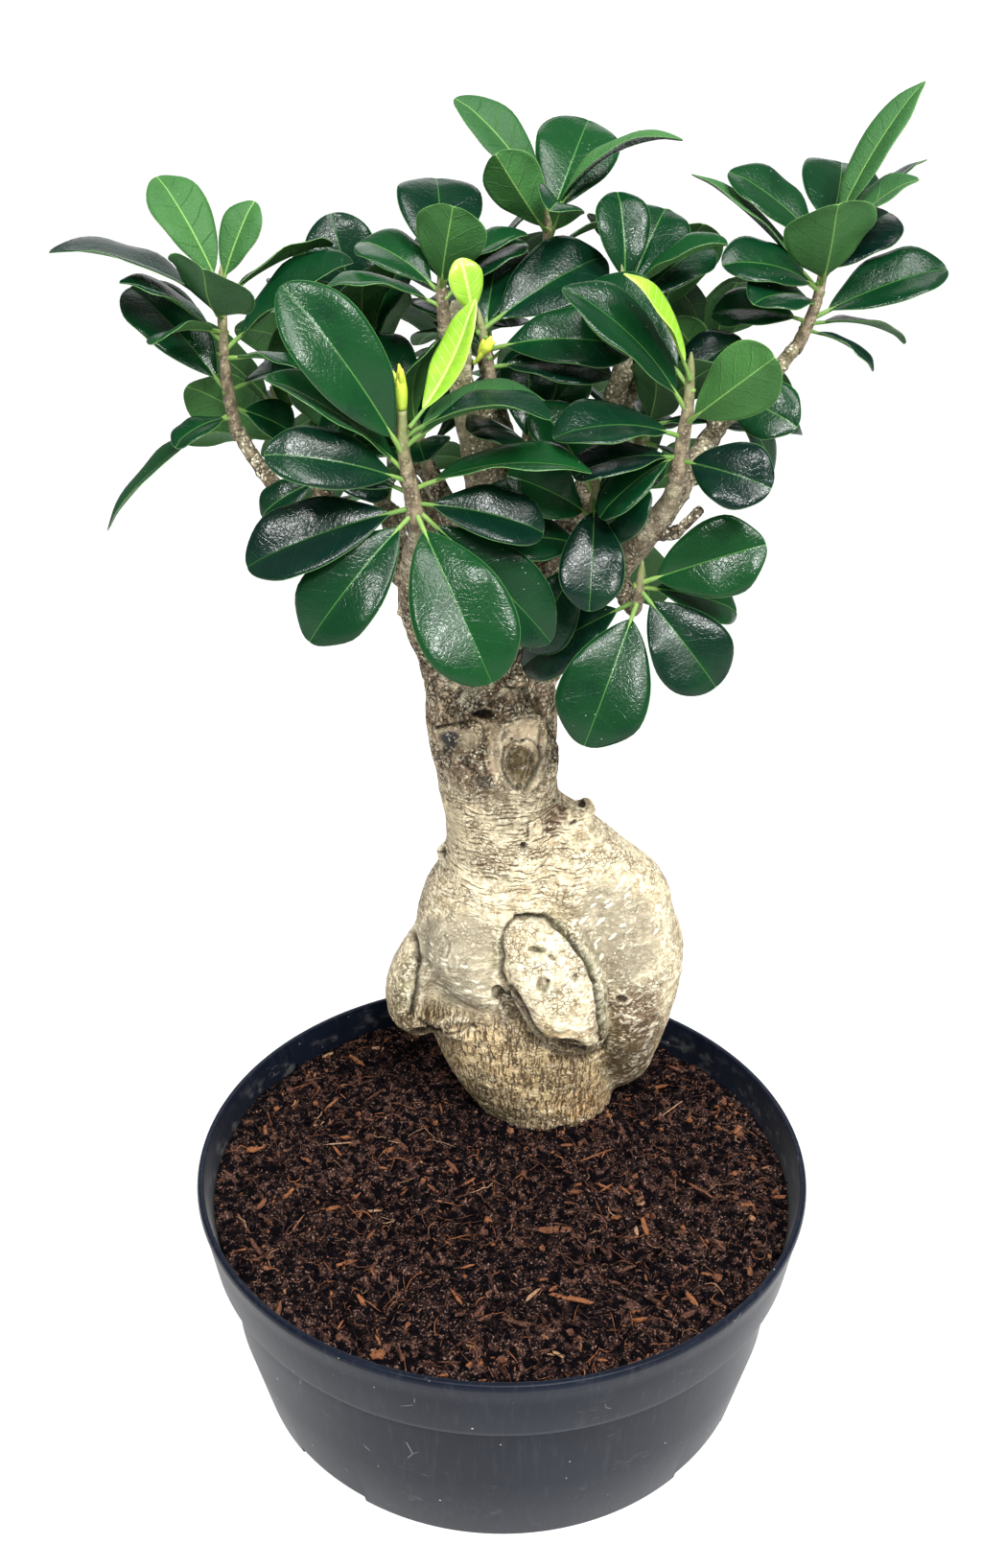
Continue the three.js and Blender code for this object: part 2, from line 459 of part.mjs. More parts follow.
// The sprays. Each stem goes on from the end of its limb. A leaf is
// [place on the stem, turn, out, length, width, face, arch, fold], as facingLeaf has them.
const sprays = {
  front: {
    stem: [[-32, -31, 413], [-34, -34, 427], [-34, -36, 440]],
    tip: 'flat',
    leaves: [
      [0.1, 152, 32, 67, 35, 0, 6, 10], [0.08, -138, 19, 58, 29, 5, 6, 12],
      [0.12, -107, 10, 61, 29, 20, 4, 14], [0.57, -31, -3, 68, 28, 10, 9, 16],
      [0.42, -53, 8, 57, 24, 50, 4, 24], [0.36, -70, 16, 51, 22, 15, 5, 10],
      [0.12, 135, 2, 68, 28, 10, 5, 12], [0.66, 75, 14, 52, 24, 63, 8, 20],
      [0.75, 62, -18, 53, 22, 45, 6, 14], [0.28, 82, 7, 62, 24, 55, 6, 18],
      [0.16, 101, 5, 46, 22, 20, 4, 14], [0.24, -78, -18, 44, 21, 25, 4, 14],
    ],
  },
  left: {
    stem: [[-102, 26, 438], [-102, 25, 455], [-101, 24, 473]],
    leaves: [
      [0.95, -30, -16, 46, 21, 20, 4, 12], [0.98, 19, -12, 32, 15, 10, 2, 12],
      [0.78, 5, 60, 42, 34, 180, -3, 16], [0.83, -70, 6, 62, 29, 62, 6, 14],
      [0.6, -54, 18, 42, 22, 68, 4, 14], [0.68, -88, 55, 34, 18, 70, 3, 10],
      [0.24, -45, -18, 55, 26, 25, 4, 10], [0.55, 57, -6, 57, 27, 45, 3, 26],
      [0.9, 65, -25, 48, 22, 72, 3, 14], [0.08, -109, 40, 27, 15, 40, 3, 10],
      [0.12, -130, 4, 67, 20, 68, 4, 16], [0.27, 85, -34, 44, 22, 50, 4, 12],
      [0.16, 127, -40, 34, 20, 20, 3, 12], [0.5, 94, 28, 40, 22, 65, 3, 14],
    ],
  },
  left_low: {
    stem: [[-69, 20, 403], [-69, 20, 408]],
    leaves: [
      [0.5, -118, -12, 26, 16, 20, 3, 8], [0.6, 100, 0, 27, 16, 20, 3, 8],
      [0.8, 30, -30, 34, 18, 20, 3, 10],
    ],
  },
  centre: {
    stem: [[-6, 10, 450], [-8, 11, 460]],
    leaves: [
      [0.95, 57, -45, 54, 29, 10, 4, 10], [0.6, 84, 5, 52, 26, 20, 6, 14],
      [0.3, 92, 3, 44, 22, 30, 4, 12], [0.85, -62, -28, 44, 22, 30, 4, 12],
      [0.5, -57, -36, 42, 20, 25, 4, 12], [0.75, 10, -40, 46, 24, 10, 4, 12],
    ],
  },
  crown_left: {
    stem: [[-22, 14, 470], [-22, 14, 477]],
    leaves: [
      [0.75, 10, 35, 35, 27, 180, -3, 24], [0.8, 60, -8, 35, 18, 50, 3, 18],
      [0.9, -4, -42, 44, 31, 10, 4, 10], [0.6, -60, -25, 38, 22, 30, 4, 12],
      [0.35, -78, 10, 42, 20, 60, 4, 14], [0.45, 78, -32, 38, 20, 40, 4, 12],
      [0.7, 40, -48, 36, 20, 10, 4, 12],
    ],
  },
  top: {
    stem: [[16, 38, 486], [16, 38, 497]],
    leaves: [
      [0.93, -41, -5, 51, 20, 25, 5, 18], [0.75, 24, -40, 50, 31, 0, 3, 8],
      [0.75, 58, 4, 55, 19, 62, 9, 22], [0.6, -35, 28, 38, 22, 150, -2, 24],
      [0.5, -79, 45, 36, 18, 60, 4, 14], [0.45, -102, 74, 45, 24, 0, 8, 16],
      [0.2, 117, 34, 37, 20, 25, 4, 12], [0.3, 77, -3, 42, 18, 70, 5, 16],
      [0.16, -95, 9, 36, 18, 40, 4, 14], [0.5, -30, -50, 44, 22, 10, 4, 12],
    ],
  },
  crown_right: {
    stem: [[43, 18, 467], [42, 18, 474]],
    leaves: [
      [0.6, 30, -38, 38, 26, 5, 4, 10], [0.7, 60, 10, 40, 19, 60, 3, 28],
      [0.75, -10, -42, 36, 20, 10, 4, 12], [0.4, -41, -46, 38, 20, 15, 4, 12],
      [0.35, 56, -30, 44, 22, 15, 4, 12], [0.3, 5, -66, 44, 23, 20, 4, 12],
    ],
  },
  right_front: {
    stem: [[62, -14, 427], [63, -15, 437], [63, -15, 449]],
    leaves: [
      [0.85, -10, -36, 52, 28, 0, 3, 8], [0.59, -46, 4, 61, 25, 35, 6, 14],
      [0.49, 41, 40, 47, 26, 170, -3, 24], [0.35, -90, 18, 49, 25, 40, 5, 14],
      [0.14, -95, 17, 40, 22, 45, 4, 12], [0.12, 99, 36, 36, 24, 0, 3, 8],
      [0.2, -127, 8, 36, 18, 35, 3, 12],
    ],
  },
  right_top: {
    stem: [[114, 37, 462], [116, 38, 471], [118, 38, 489]],
    leaves: [
      [0.95, 29, -4, 60, 15, 40, 4, 16], [0.84, -53, -8, 46, 24, 30, 3, 10],
      [0.89, 20, -50, 46, 30, 0, 3, 8], [0.55, -6, 44, 42, 34, 180, -2, 16],
      [0.77, 44, 15, 41, 20, 60, 4, 18], [0.89, 49, -11, 46, 14, 70, 2, 14],
      [0.5, -50, -2, 63, 17, 58, 3, 18], [0.5, -68, 15, 44, 24, 35, 5, 12],
      [0.38, -74, 47, 40, 24, 40, 4, 12], [0.24, 69, 0, 52, 27, 30, 3, 16],
      [0.2, 100, -9, 40, 18, 68, 4, 14], [0.15, 117, 23, 30, 15, 60, 3, 12],
      [0.6, 50, -28, 40, 25, 20, 3, 10], [0.22, -86, -14, 36, 20, 25, 4, 12],
    ],
  },
  right_mid: {
    stem: [[78, 10, 437], [79, 8, 440]],
    leaves: [
      [0.6, 108, 42, 33, 22, 0, 3, 8], [0.8, 146, -14, 42, 14, 30, 3, 12],
      [0.5, 124, -26, 40, 10, 20, 3, 10],
    ],
  },
  right_back: { stem: [[82, 55, 436], [81, 64, 443]], whorl: [7, 95, 80, 34, 38] },
  low_right: {
    stem: [[49.5, -8, 366], [50, -9, 375]],
    leaves: [
      [0.85, 67, 15, 48, 29, 0, 3, 6], [0.7, 139, 20, 46, 30, 0, 4, 8],
      [0.45, -163, 26, 58, 34, 0, 5, 8], [0.75, 108, -14, 42, 22, 30, 3, 10],
      [0.4, -127, -17, 56, 26, 20, 4, 10],
    ],
  },
  inner: {
    stem: [[31, 1, 390], [33, -1, 404]],
    leaves: [
      [0.7, -58, 25, 40, 22, 10, 4, 12], [0.94, -176, 36, 43, 24, 0, 4, 12],
      [0.3, -78, 25, 38, 21, 20, 4, 12], [0.25, 39, 27, 38, 20, 20, 4, 12],
      [0.95, -34, -16, 40, 21, 15, 4, 12], [0.2, -177, -8, 42, 24, 10, 4, 10],
      [0.6, 70, -10, 36, 20, 20, 4, 12],
    ],
  },
  left_back: { stem: [[-84, 57, 413], [-90, 65, 425]], whorl: [7, 110, 80, 36, 50] },
  left_mid: { stem: [[-56, 51, 403], [-60, 56, 415]], whorl: [8, 250, 82, 38, 46] },
  mid_left: { stem: [[-31, 28, 414], [-34, 27, 424]], whorl: [8, 200, 84, 40, 46] },
  mid: { stem: [[9, 14, 412], [10, 10, 421]], whorl: [8, 90, 84, 40, 46] },
  mid_right: { stem: [[54, 38, 417], [58, 38, 427]], whorl: [8, 10, 84, 40, 46] },
  back_left: { stem: [[-60, 99, 424], [-66, 104, 435], [-70, 107, 446]], whorl: [8, 20, 84, 32, 54] },
  back: { stem: [[-5, 119, 424], [-6, 125, 436], [-6, 129, 447]], whorl: [8, 150, 84, 32, 54] },
  back_right: { stem: [[63, 99, 422], [69, 103, 433], [74, 106, 444]], whorl: [8, 300, 84, 32, 54] },
  low_back_left: { stem: [[-50, 101, 375], [-57, 108, 384]], whorl: [5, 75, 82, 40, 52] },
  low_back_right: { stem: [[56, 103, 374], [63, 110, 383]], whorl: [5, 200, 82, 40, 52] },
  top_back: { stem: [[-9, 80, 450], [-10, 82, 460]], whorl: [8, 330, 80, 30, 48] },
  top_right: { stem: [[60, 68, 453], [62, 70, 463]], whorl: [8, 60, 80, 30, 46] },
  top_left: {
    stem: [[-52, 61, 440], [-55, 62, 451]],
    leaves: [[0.95, -13, -4, 46, 27, 0, 3, 8]],
    whorl: [8, 180, 80, 28, 50],
  },
};

// New growth of a brighter green, each beside the wood that bore it: that wood, its start, then the leaf.
const newGrowth = {
  new_leaf_front: ['front', [-31.3, -36.9, 435], 28, -4, 45, 14, 30, -4, 20],
  new_leaf_right: ['right_front', [62.6, -17.45, 447], -34, 10, 43, 14, 55, 3, 24],
  new_leaf_centre: ['stub', [-11, -7.1, 465], -16, 14, 21, 12, 10, 2, 10],
};

const buds = {
  bud_front: [[-34, -36, 440.35, 1.7], [-34.2, -36.2, 446, 2.2], [-34.2, -36.4, 451, 1.4],
    [-34.6, -36.6, 455, 0.3]],
  bud_centre: [[-10.6, -3.4, 450, 0.8], [-8, -5, 453, 0.9], [-6, -6, 456, 2], [-4.6, -6.6, 459.5, 0.4]],
};

// Where a stem is at a share of its length, and the way it heads there.
function alongStem(places, share) {
  const lengths = places.slice(1).map((place, i) => place.distanceTo(places[i]));
  let left = share * lengths.reduce((sum, each) => sum + each, 0);
  let i = 0;
  while (i < lengths.length - 1 && left > lengths[i]) {
    left -= lengths[i];
    i += 1;
  }
  const way = places[i + 1].clone().sub(places[i]).normalize();
  return { place: places[i].clone().addScaledVector(way, Math.min(left, lengths[i])), way };
}

function stemOf(name) {
  const ends = limbs[name].slice(-2).map(([x, y, z]) => v(x, y, z));
  const heading = ends[1].clone().sub(ends[0]).normalize();
  const start = ends[1].clone().addScaledVector(heading, seatGap);
  const places = [start, ...sprays[name].stem.map(([x, y, z]) => v(x, y, z))];
  const thick = limbs[name][limbs[name].length - 1][3] * 0.95;
  return { name, places, heading, thick };
}

function wantedLeaves(stem) {
  const { leaves = [], whorl = [0] } = sprays[stem.name];
  const placeAt = (share) => alongStem(stem.places, share).place;
  const chosen = leaves.map(([share, ...values]) => facingLeaf(placeAt(share), ...values));
  const [count, phase, lowest, highest, longest] = whorl;
  const round = Array.from({ length: count }, (_, i) => {
    const share = i / (count - 1);
    const seed = phase + i;
    const { place, way } = alongStem(stem.places, 0.22 + 0.72 * share);
    const spread = lowest + (highest - lowest) * share + 10 * (chance(seed) - 0.5);
    const length = longest * (0.88 + 0.2 * chance(seed + 0.3));
    const width = length * (0.44 + 0.1 * chance(seed + 0.6));
    const arch = 3 + 3 * chance(seed + 0.9);
    return { ...stemLeaf(place, way, phase + 137.5 * i, spread, length, width, arch, 0), plain: true };
  });
  return [...chosen, ...round];
}

// Places every leaf in turn. One that would come too near what is placed is bent aside in small steps,
// then shortened, and left off only if nothing helps.
const cell = 9;
const keyOf = (x, y, z) => `${x},${y},${z}`;

function placer() {
  const held = new Map();
  const add = (point) => {
    const key = keyOf(...['x', 'y', 'z'].map((axis) => Math.floor(point.place[axis] / cell)));
    if (!held.has(key)) held.set(key, []);
    held.get(key).push(point);
  };
  const roomBetween = (a, b) => {
    const own = a.spray === b.spray || a.host === b.spray;
    if (b.room > 0) return own && a.share < b.free ? 0 : b.room;
    if (!own) return leafRoom;
    return a.share > 0.32 && b.share > 0.32 ? ownLeafRoom : 0;
  };
  const clear = (points) => points.every((point) => {
    const [x, y, z] = ['x', 'y', 'z'].map((axis) => Math.floor(point.place[axis] / cell));
    for (let i = x - 1; i <= x + 1; i += 1) {
      for (let j = y - 1; j <= y + 1; j += 1) {
        for (let k = z - 1; k <= z + 1; k += 1) {
          for (const other of held.get(keyOf(i, j, k)) ?? []) {
            const room = roomBetween(point, other);
            if (room > 0 && point.place.distanceToSquared(other.place) < room * room) return false;
          }
        }
      }
    }
    return true;
  });
  return { add, clear };
}

// Points down the middle of a limb or stem, each keeping its own radius clear.
// Its own leaves may touch it up to the share that is free.
function woodPoints(stations, spray, free) {
  const points = [];
  for (let i = 0; i + 1 < stations.length; i += 1) {
    const [a, b] = [stations[i], stations[i + 1]];
    const steps = Math.ceil(Math.hypot(b[0] - a[0], b[1] - a[1], b[2] - a[2]) / 2.5);
    for (let s = 0; s <= steps; s += 1) {
      const at = a.map((value, n) => value + ((b[n] - value) * s) / steps);
      const room = at[3] + limbRoom;
      if (room < cell) points.push({ place: v(at[0], at[1], at[2]), share: 1, spray, room, free });
    }
  }
  return points;
}

const bends = [[0, 0, 0]];
for (const step of [5, 10, 16, 22, 30]) {
  bends.push([step, 0, 0], [-step, 0, 0], [0, step, 0], [0, -step, 0], [0, 0, step], [0, 0, -step]);
  bends.push([step, step, 0], [-step, step, 0], [step, -step, 0], [-step, -step, 0]);
}

function placeLeaves() {
  const { add, clear } = placer();
  const stems = Object.keys(sprays).map(stemOf);
  for (const [name, stations] of Object.entries(limbs)) woodPoints(stations, name, 0.1).forEach(add);
  for (const { name, places, thick } of stems) {
    woodPoints(places.map((p) => [p.x, p.y, p.z, 0.8 * thick]), name, 0.3).forEach(add);
  }
  for (const [name, stations] of Object.entries(buds)) woodPoints(stations, name, 0).forEach(add);
  const place = (leaf, spray, host = spray) => {
    for (const shrink of [1, 0.9, 0.78]) {
      for (const [swing, pitch, roll] of bends) {
        const tried = { ...bent(leaf, swing, pitch, roll), spray, host, loose: host !== spray };
        tried.length = leaf.length * shrink;
        tried.width = leaf.width * shrink;
        const points = leafPoints(tried);
        if (clear(points)) {
          points.forEach(add);
          return tried;
        }
      }
    }
    return null;
  };
  const fresh = Object.entries(newGrowth).map(([name, [host, root, ...values]]) =>
    ({ name, leaf: place(facingLeaf(v(...root), ...values), name, host) }));
  const wanted = stems.map((stem) => wantedLeaves(stem).map((leaf) => ({ stem, leaf }))).flat();
  const placed = wanted.map(({ stem, leaf }) => place(leaf, stem.name)).filter(Boolean);
  return { stems, placed, fresh };
}

function sprayOf(stem, leaves) {
  const { places, heading, thick } = stem;
  const top = 1.5;
  const radius = (i) => thick + ((top - thick) * i) / (places.length - 1);
  const rings = limbRings(places.map((p, i) => [p.x, p.y, p.z, radius(i)]), 5, heading);
  if (sprays[stem.name].tip !== 'flat') {
    const way = places[places.length - 1].clone().sub(places[places.length - 2]).normalize();
    rings.push([places[places.length - 1].clone().addScaledVector(way, 7)]);
  }
  return joined([skin(rings), ...leaves.map(leafSolid)]);
}

// The whole plant in its pot

const plastic = new THREE.MeshStandardMaterial({ color: 0x2b2f36, roughness: 0.5, metalness: 0 });
const peat = new THREE.MeshStandardMaterial({ color: 0x3a2218, roughness: 0.95, metalness: 0 });
const bark = new THREE.MeshStandardMaterial({ color: 0xb3a58a, roughness: 0.85, metalness: 0 });
const greenLeaf = () => new THREE.MeshStandardMaterial({ color: 0x1f5a33, roughness: 0.35, metalness: 0 });
const freshLeaf = () => new THREE.MeshStandardMaterial({ color: 0x8cc63a, roughness: 0.4, metalness: 0 });

const rootHole = joined([
  lobe(rootColumn.slice(0, 4), { sides: 14, uneven: 0.05, grow: seatGap + 0.15 }),
  lobe(rightLobe.slice(0, 3), { sides: 12, grow: seatGap + 0.15 }),
]);

const bonsai = new THREE.Group();
bonsai.add(mesh('pot', pot(), plastic));
bonsai.add(mesh('soil', soil(rootHole), peat));
bonsai.add(mesh('trunk', trunk(), bark));

const { stems, placed, fresh } = placeLeaves();
for (const stem of stems) {
  const own = placed.filter((leaf) => leaf.spray === stem.name);
  bonsai.add(mesh(`spray_${stem.name}`, sprayOf(stem, own), greenLeaf()));
}
for (const { name, leaf } of fresh) bonsai.add(mesh(name, leafSolid(leaf), freshLeaf()));
for (const [name, stations] of Object.entries(buds)) {
  bonsai.add(mesh(name, skin(limbRings(stations, 7)), freshLeaf()));
}

export default bonsai;
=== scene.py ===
# A ficus ginseng bonsai in its bowl pot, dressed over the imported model. Metres, +Z up.
# Plant tables are in millimetres and repeat the model's own values.
import math
import bpy
import numpy as np
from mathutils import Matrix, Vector
from mathutils.bvhtree import BVHTree


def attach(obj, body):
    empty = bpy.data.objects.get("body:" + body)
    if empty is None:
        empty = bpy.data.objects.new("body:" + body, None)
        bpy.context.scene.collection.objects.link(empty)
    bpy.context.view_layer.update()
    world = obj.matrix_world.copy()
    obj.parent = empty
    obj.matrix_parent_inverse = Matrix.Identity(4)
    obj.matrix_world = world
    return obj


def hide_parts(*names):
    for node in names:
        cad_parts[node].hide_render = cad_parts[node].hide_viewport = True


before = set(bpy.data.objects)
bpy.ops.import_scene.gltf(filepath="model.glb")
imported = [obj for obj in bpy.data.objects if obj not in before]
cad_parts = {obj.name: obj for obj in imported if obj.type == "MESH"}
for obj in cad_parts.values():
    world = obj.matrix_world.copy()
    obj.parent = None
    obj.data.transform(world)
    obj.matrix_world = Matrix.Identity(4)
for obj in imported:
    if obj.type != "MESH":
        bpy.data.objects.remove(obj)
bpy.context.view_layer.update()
mm = 0.001
bpy.ops.object.select_all(action="DESELECT")

photo = {
    "place": (-0.0047, -0.517, 0.5295),  # where the photo was taken from
    "tilt": 64.9,  # degrees from looking straight down
    "focal": 1500.0,  # in pixels of the photo
    "size": (1024, 1635),
    "sensor": 36.0,
}


def addCamera():
    bpy.ops.object.camera_add(location=photo["place"], rotation=(math.radians(photo["tilt"]), 0, 0))
    camera = bpy.context.object
    camera.name = "photoCamera"
    camera.data.sensor_width = photo["sensor"]
    camera.data.lens = photo["sensor"] * photo["focal"] / max(photo["size"])
    camera.data.clip_start = 0.02
    bpy.context.scene.camera = camera
    print("camera stands where the photo was taken")


def photoWays():
    # the camera's headings ahead and upwards
    tilt = math.radians(photo["tilt"])
    return (0, math.sin(tilt), -math.cos(tilt)), (0, math.cos(tilt), math.sin(tilt))


def photoRay(across, down):
    # from a pixel of the photo to a place and a heading in the model
    ahead, upward = map(Vector, photoWays())
    right = (across - photo["size"][0] / 2) / photo["focal"]
    above = (photo["size"][1] / 2 - down) / photo["focal"]
    return Vector(photo["place"]), (ahead + Vector((1, 0, 0)) * right + upward * above).normalized()


def bothWays(operation):
    # an operator and its reflected form, so that 1 - mask works
    return (lambda self, other: self.finish.maths(operation, self, other),
            lambda self, other: self.finish.maths(operation, other, self))


class Wire:
    # one socket, with sums written as Python sums
    __add__, __radd__ = bothWays("ADD")
    __sub__, __rsub__ = bothWays("SUBTRACT")
    __mul__, __rmul__ = bothWays("MULTIPLY")
    __truediv__, __rtruediv__ = bothWays("DIVIDE")

    def __init__(self, finish, socket):
        self.finish = finish
        self.socket = socket

    def between(self, low, high):
        # 0 below low, 1 above high, smooth in between; low may be the higher one
        if low > high:
            return 1 - self.between(high, low)
        settings = {"interpolation_type": "SMOOTHSTEP"}
        return self.finish.node("ShaderNodeMapRange", settings, {0: self, 1: low, 2: high})

    def size(self):
        return self.finish.maths("ABSOLUTE", self)

    def part(self):
        return self.finish.maths("FRACT", self)

    def most(self, other):
        return self.finish.maths("MAXIMUM", self, other)


class Finish:
    # one material and its nodes
    def __init__(self, name, **constants):
        self.material = bpy.data.materials.new(name)
        self.material.use_nodes = True
        self.tree = self.material.node_tree
        self.shader = self.tree.nodes["Principled BSDF"]
        for key, value in constants.items():
            self.shader.inputs[key.replace("_", " ")].default_value = value
        self.place = self.node("ShaderNodeTexCoord", output="Object")

    def node(self, kind, settings=None, inputs=None, output=0):
        made = self.tree.nodes.new(kind)
        for key, value in (settings or {}).items():
            setattr(made, key, value)
        for key, value in (inputs or {}).items():
            socket = made.inputs[key]
            if isinstance(value, Wire):
                self.tree.links.new(value.socket, socket)
            elif socket.type == "RGBA":
                socket.default_value = (*value[:3], 1)
            else:
                socket.default_value = value
        return Wire(self, made.outputs[output])

    def maths(self, operation, first, second=0.0):
        return self.node("ShaderNodeMath", {"operation": operation}, {0: first, 1: second})

    def mix(self, share, first, second):
        return self.node("ShaderNodeMix", {"data_type": "RGBA"}, {0: share, 6: first, 7: second}, 2)

    def layered(self, colour, *layers):
        # each layer is a share and the colour that it lays over those before
        for share, tone in layers:
            colour = self.mix(share, colour, tone)
        return colour

    def vector(self, operation, inputs, output=0):
        return self.node("ShaderNodeVectorMath", {"operation": operation}, inputs, output)

    def stretched(self, x, y, z, place=None):
        # the place, in units of this many millimetres along x, y and z
        scale = (1 / (x * mm), 1 / (y * mm), 1 / (z * mm))
        return self.vector("MULTIPLY", {0: place or self.place, 1: scale})

    def noise(self, vector, detail, distortion=0.0):
        inputs = {"Vector": vector, "Scale": 1.0, "Detail": detail, "Distortion": distortion}
        return self.node("ShaderNodeTexNoise", {}, inputs)

    def grainOf(self, size, detail=2.0):
        return self.noise(self.stretched(size, size, size), detail)

    def cells(self, vector, feature="F1"):
        inputs = {"Vector": vector, "Scale": 1.0}
        return self.node("ShaderNodeTexVoronoi", {"feature": feature}, inputs, "Distance")

    def attribute(self, name, output="Fac"):
        return self.node("ShaderNodeAttribute", {"attribute_name": name}, output=output)

    def parts(self, vector):
        return [self.node("ShaderNodeSeparateXYZ", {}, {0: vector}, i) for i in range(3)]

    def set(self, **wires):
        for key, wire in wires.items():
            self.tree.links.new(wire.socket, self.shader.inputs[key.replace("_", " ")])
        return self.material

    def bump(self, height, rise, strength):
        inputs = {"Strength": strength, "Distance": rise * mm, "Height": height}
        return self.node("ShaderNodeBump", {}, inputs)


def onlySelect(*pieces):
    bpy.ops.object.select_all(action="DESELECT")
    for piece in pieces:
        piece.select_set(True)
    bpy.context.view_layer.objects.active = pieces[0]


def hand(piece, name, replaced, materials):
    # names a finished piece, gives it its finishes and lets it ride on the plant
    piece.name = name
    piece.data.name = name
    while len(piece.data.materials):
        piece.data.materials.pop()  # clear() would forget which face has which finish
    for material in materials:
        piece.data.materials.append(material)
    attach(piece, "root")
    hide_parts(*replaced)


def meshOf(name, points, faces, smoothed=True):
    # a mesh from points in millimetres
    mesh = bpy.data.meshes.new(name)
    mesh.from_pydata((np.asarray(points) * mm).tolist(), [], faces)
    mesh.update()
    mesh.polygons.foreach_set("use_smooth", [smoothed] * len(mesh.polygons))
    piece = bpy.data.objects.new(name, mesh)
    bpy.context.scene.collection.objects.link(piece)
    return piece


def giveValues(mesh, **named):
    # one number, or one vector, for each point
    for name, values in named.items():
        values = np.asarray(values, np.float32)
        kind, field = ("FLOAT", "value") if values.ndim == 1 else ("FLOAT_VECTOR", "vector")
        mesh.attributes.new(name, kind, "POINT").data.foreach_set(field, values.ravel())


class Heap:
    # points, faces and values gathered for one piece; each value has its name and width
    def __init__(self, widths):
        self.points, self.faces, self.finishes, self.count = [], [], [], 0
        self.widths = widths
        self.values = {key: [] for key in widths}

    def add(self, points, faces, finish=0, **values):
        self.points.append(points)
        self.faces += [tuple(corner + self.count for corner in face) for face in faces]
        self.finishes += [finish] * len(faces)
        for key, width in self.widths.items():
            given = np.asarray(values.get(key, np.zeros(width)), float).reshape(-1, width)
            self.values[key].append(np.broadcast_to(given, (len(points), width)))
        self.count += len(points)

    def piece(self, name, smoothed=True):
        made = meshOf(name, np.vstack(self.points), self.faces, smoothed)
        made.data.polygons.foreach_set("material_index", self.finishes)
        for key, parts in self.values.items():
            values = np.vstack(parts)
            giveValues(made.data, **{key: values if values.shape[1] > 1 else values[:, 0]})
        return made


def pointsOf(mesh):
    places = np.zeros(len(mesh.vertices) * 3, np.float32)
    mesh.vertices.foreach_get("co", places)
    return places.reshape(-1, 3).astype(float) / mm


shuffle = {"weights": (12.9898, 78.233, 37.719), "stretch": 43758.5453}  # scatters numbers, alike in each run


def chance(seed):
    # a number from 0 to 1 that belongs to this seed
    wave = math.sin(seed * shuffle["weights"][0]) * shuffle["stretch"]
    return wave - math.floor(wave)


def grain(points, size, seed):
    # smooth noise from -1 to 1 with features of about this size in millimetres
    at = points / np.asarray(size, float) + seed * 17.31
    cell = np.floor(at)
    part = at - cell
    part = part * part * (3 - 2 * part)
    total = np.zeros(len(points))
    for corner in np.ndindex(2, 2, 2):
        corner = np.array(corner)
        wave = np.sin((cell + corner) @ np.array(shuffle["weights"])) * shuffle["stretch"]
        total += (wave - np.floor(wave)) * np.prod(np.where(corner, part, 1 - part), axis=1)
    return 2 * total - 1


def rough(points, size, layers, seed):
    # several sizes of noise together
    size = np.asarray(size, float)
    return sum(grain(points, size / 2**i, seed + i) / 2**i for i in range(layers))


def lengths(rows):
    return np.linalg.norm(rows, axis=1)[:, None]


def lengthSoFar(run):
    return np.concatenate([[0], np.cumsum(lengths(np.diff(run[:, :3], axis=0)))])


def spline(rows, steps):
    # a smooth run through rows of numbers
    rows = np.asarray(rows, float)
    padded = np.vstack([2 * rows[0] - rows[1], rows, 2 * rows[-1] - rows[-2]])
    out = []
    for i in range(1, len(padded) - 2):
        before, here, after, beyond = padded[i - 1:i + 3]
        for t in np.arange(steps) / steps:
            out.append(0.5 * (2 * here + (after - before) * t
                              + (2 * before - 5 * here + 4 * after - beyond) * t**2
                              + (3 * here - before - 3 * after + beyond) * t**3))
    out.append(rows[-1])
    return np.array(out)


light = {
    "floor": 60,  # metres across
    "floorTone": (0.25, 0.25, 0.25, 1),
    "table": 0.93,  # the floor is a light table, so that it shows hardly any shadow
    "sky": 0.28,  # what the plant gets from all round
    "skyTone": (0.97, 0.985, 1, 1),
    "backdrop": 1.4,  # what the camera sees behind it
    "sun": 1.6,
    "sunTone": (1, 0.985, 0.96),
    "sunSpread": 38,  # degrees across, so that its shadows stay soft
    "sunTurn": (44, 10, 26),
    "aim": (0, 0, 0.38),  # what the boxes point at
    "boxes": [  # place, power, size
        ((0.12, -0.85, 1.05), 7, 0.14), ((-0.45, -0.7, 1.15), 6, 0.14), ((0.5, -0.6, 1.25), 7, 0.16),
        ((0.15, -0.45, 1.6), 8, 0.45), ((0, 1.5, 1.5), 9, 1.5),
    ],
}


def addStage():
    bpy.ops.mesh.primitive_plane_add(size=light["floor"])
    floor = bpy.context.object
    floor.name = "floor"
    plain = Finish("paleFloor", Base_Color=light["floorTone"], Roughness=0.9, Specular_IOR_Level=0.1,
                   Emission_Color=(1, 1, 1, 1), Emission_Strength=light["table"])
    floor.data.materials.append(plain.material)
    print("floor laid")


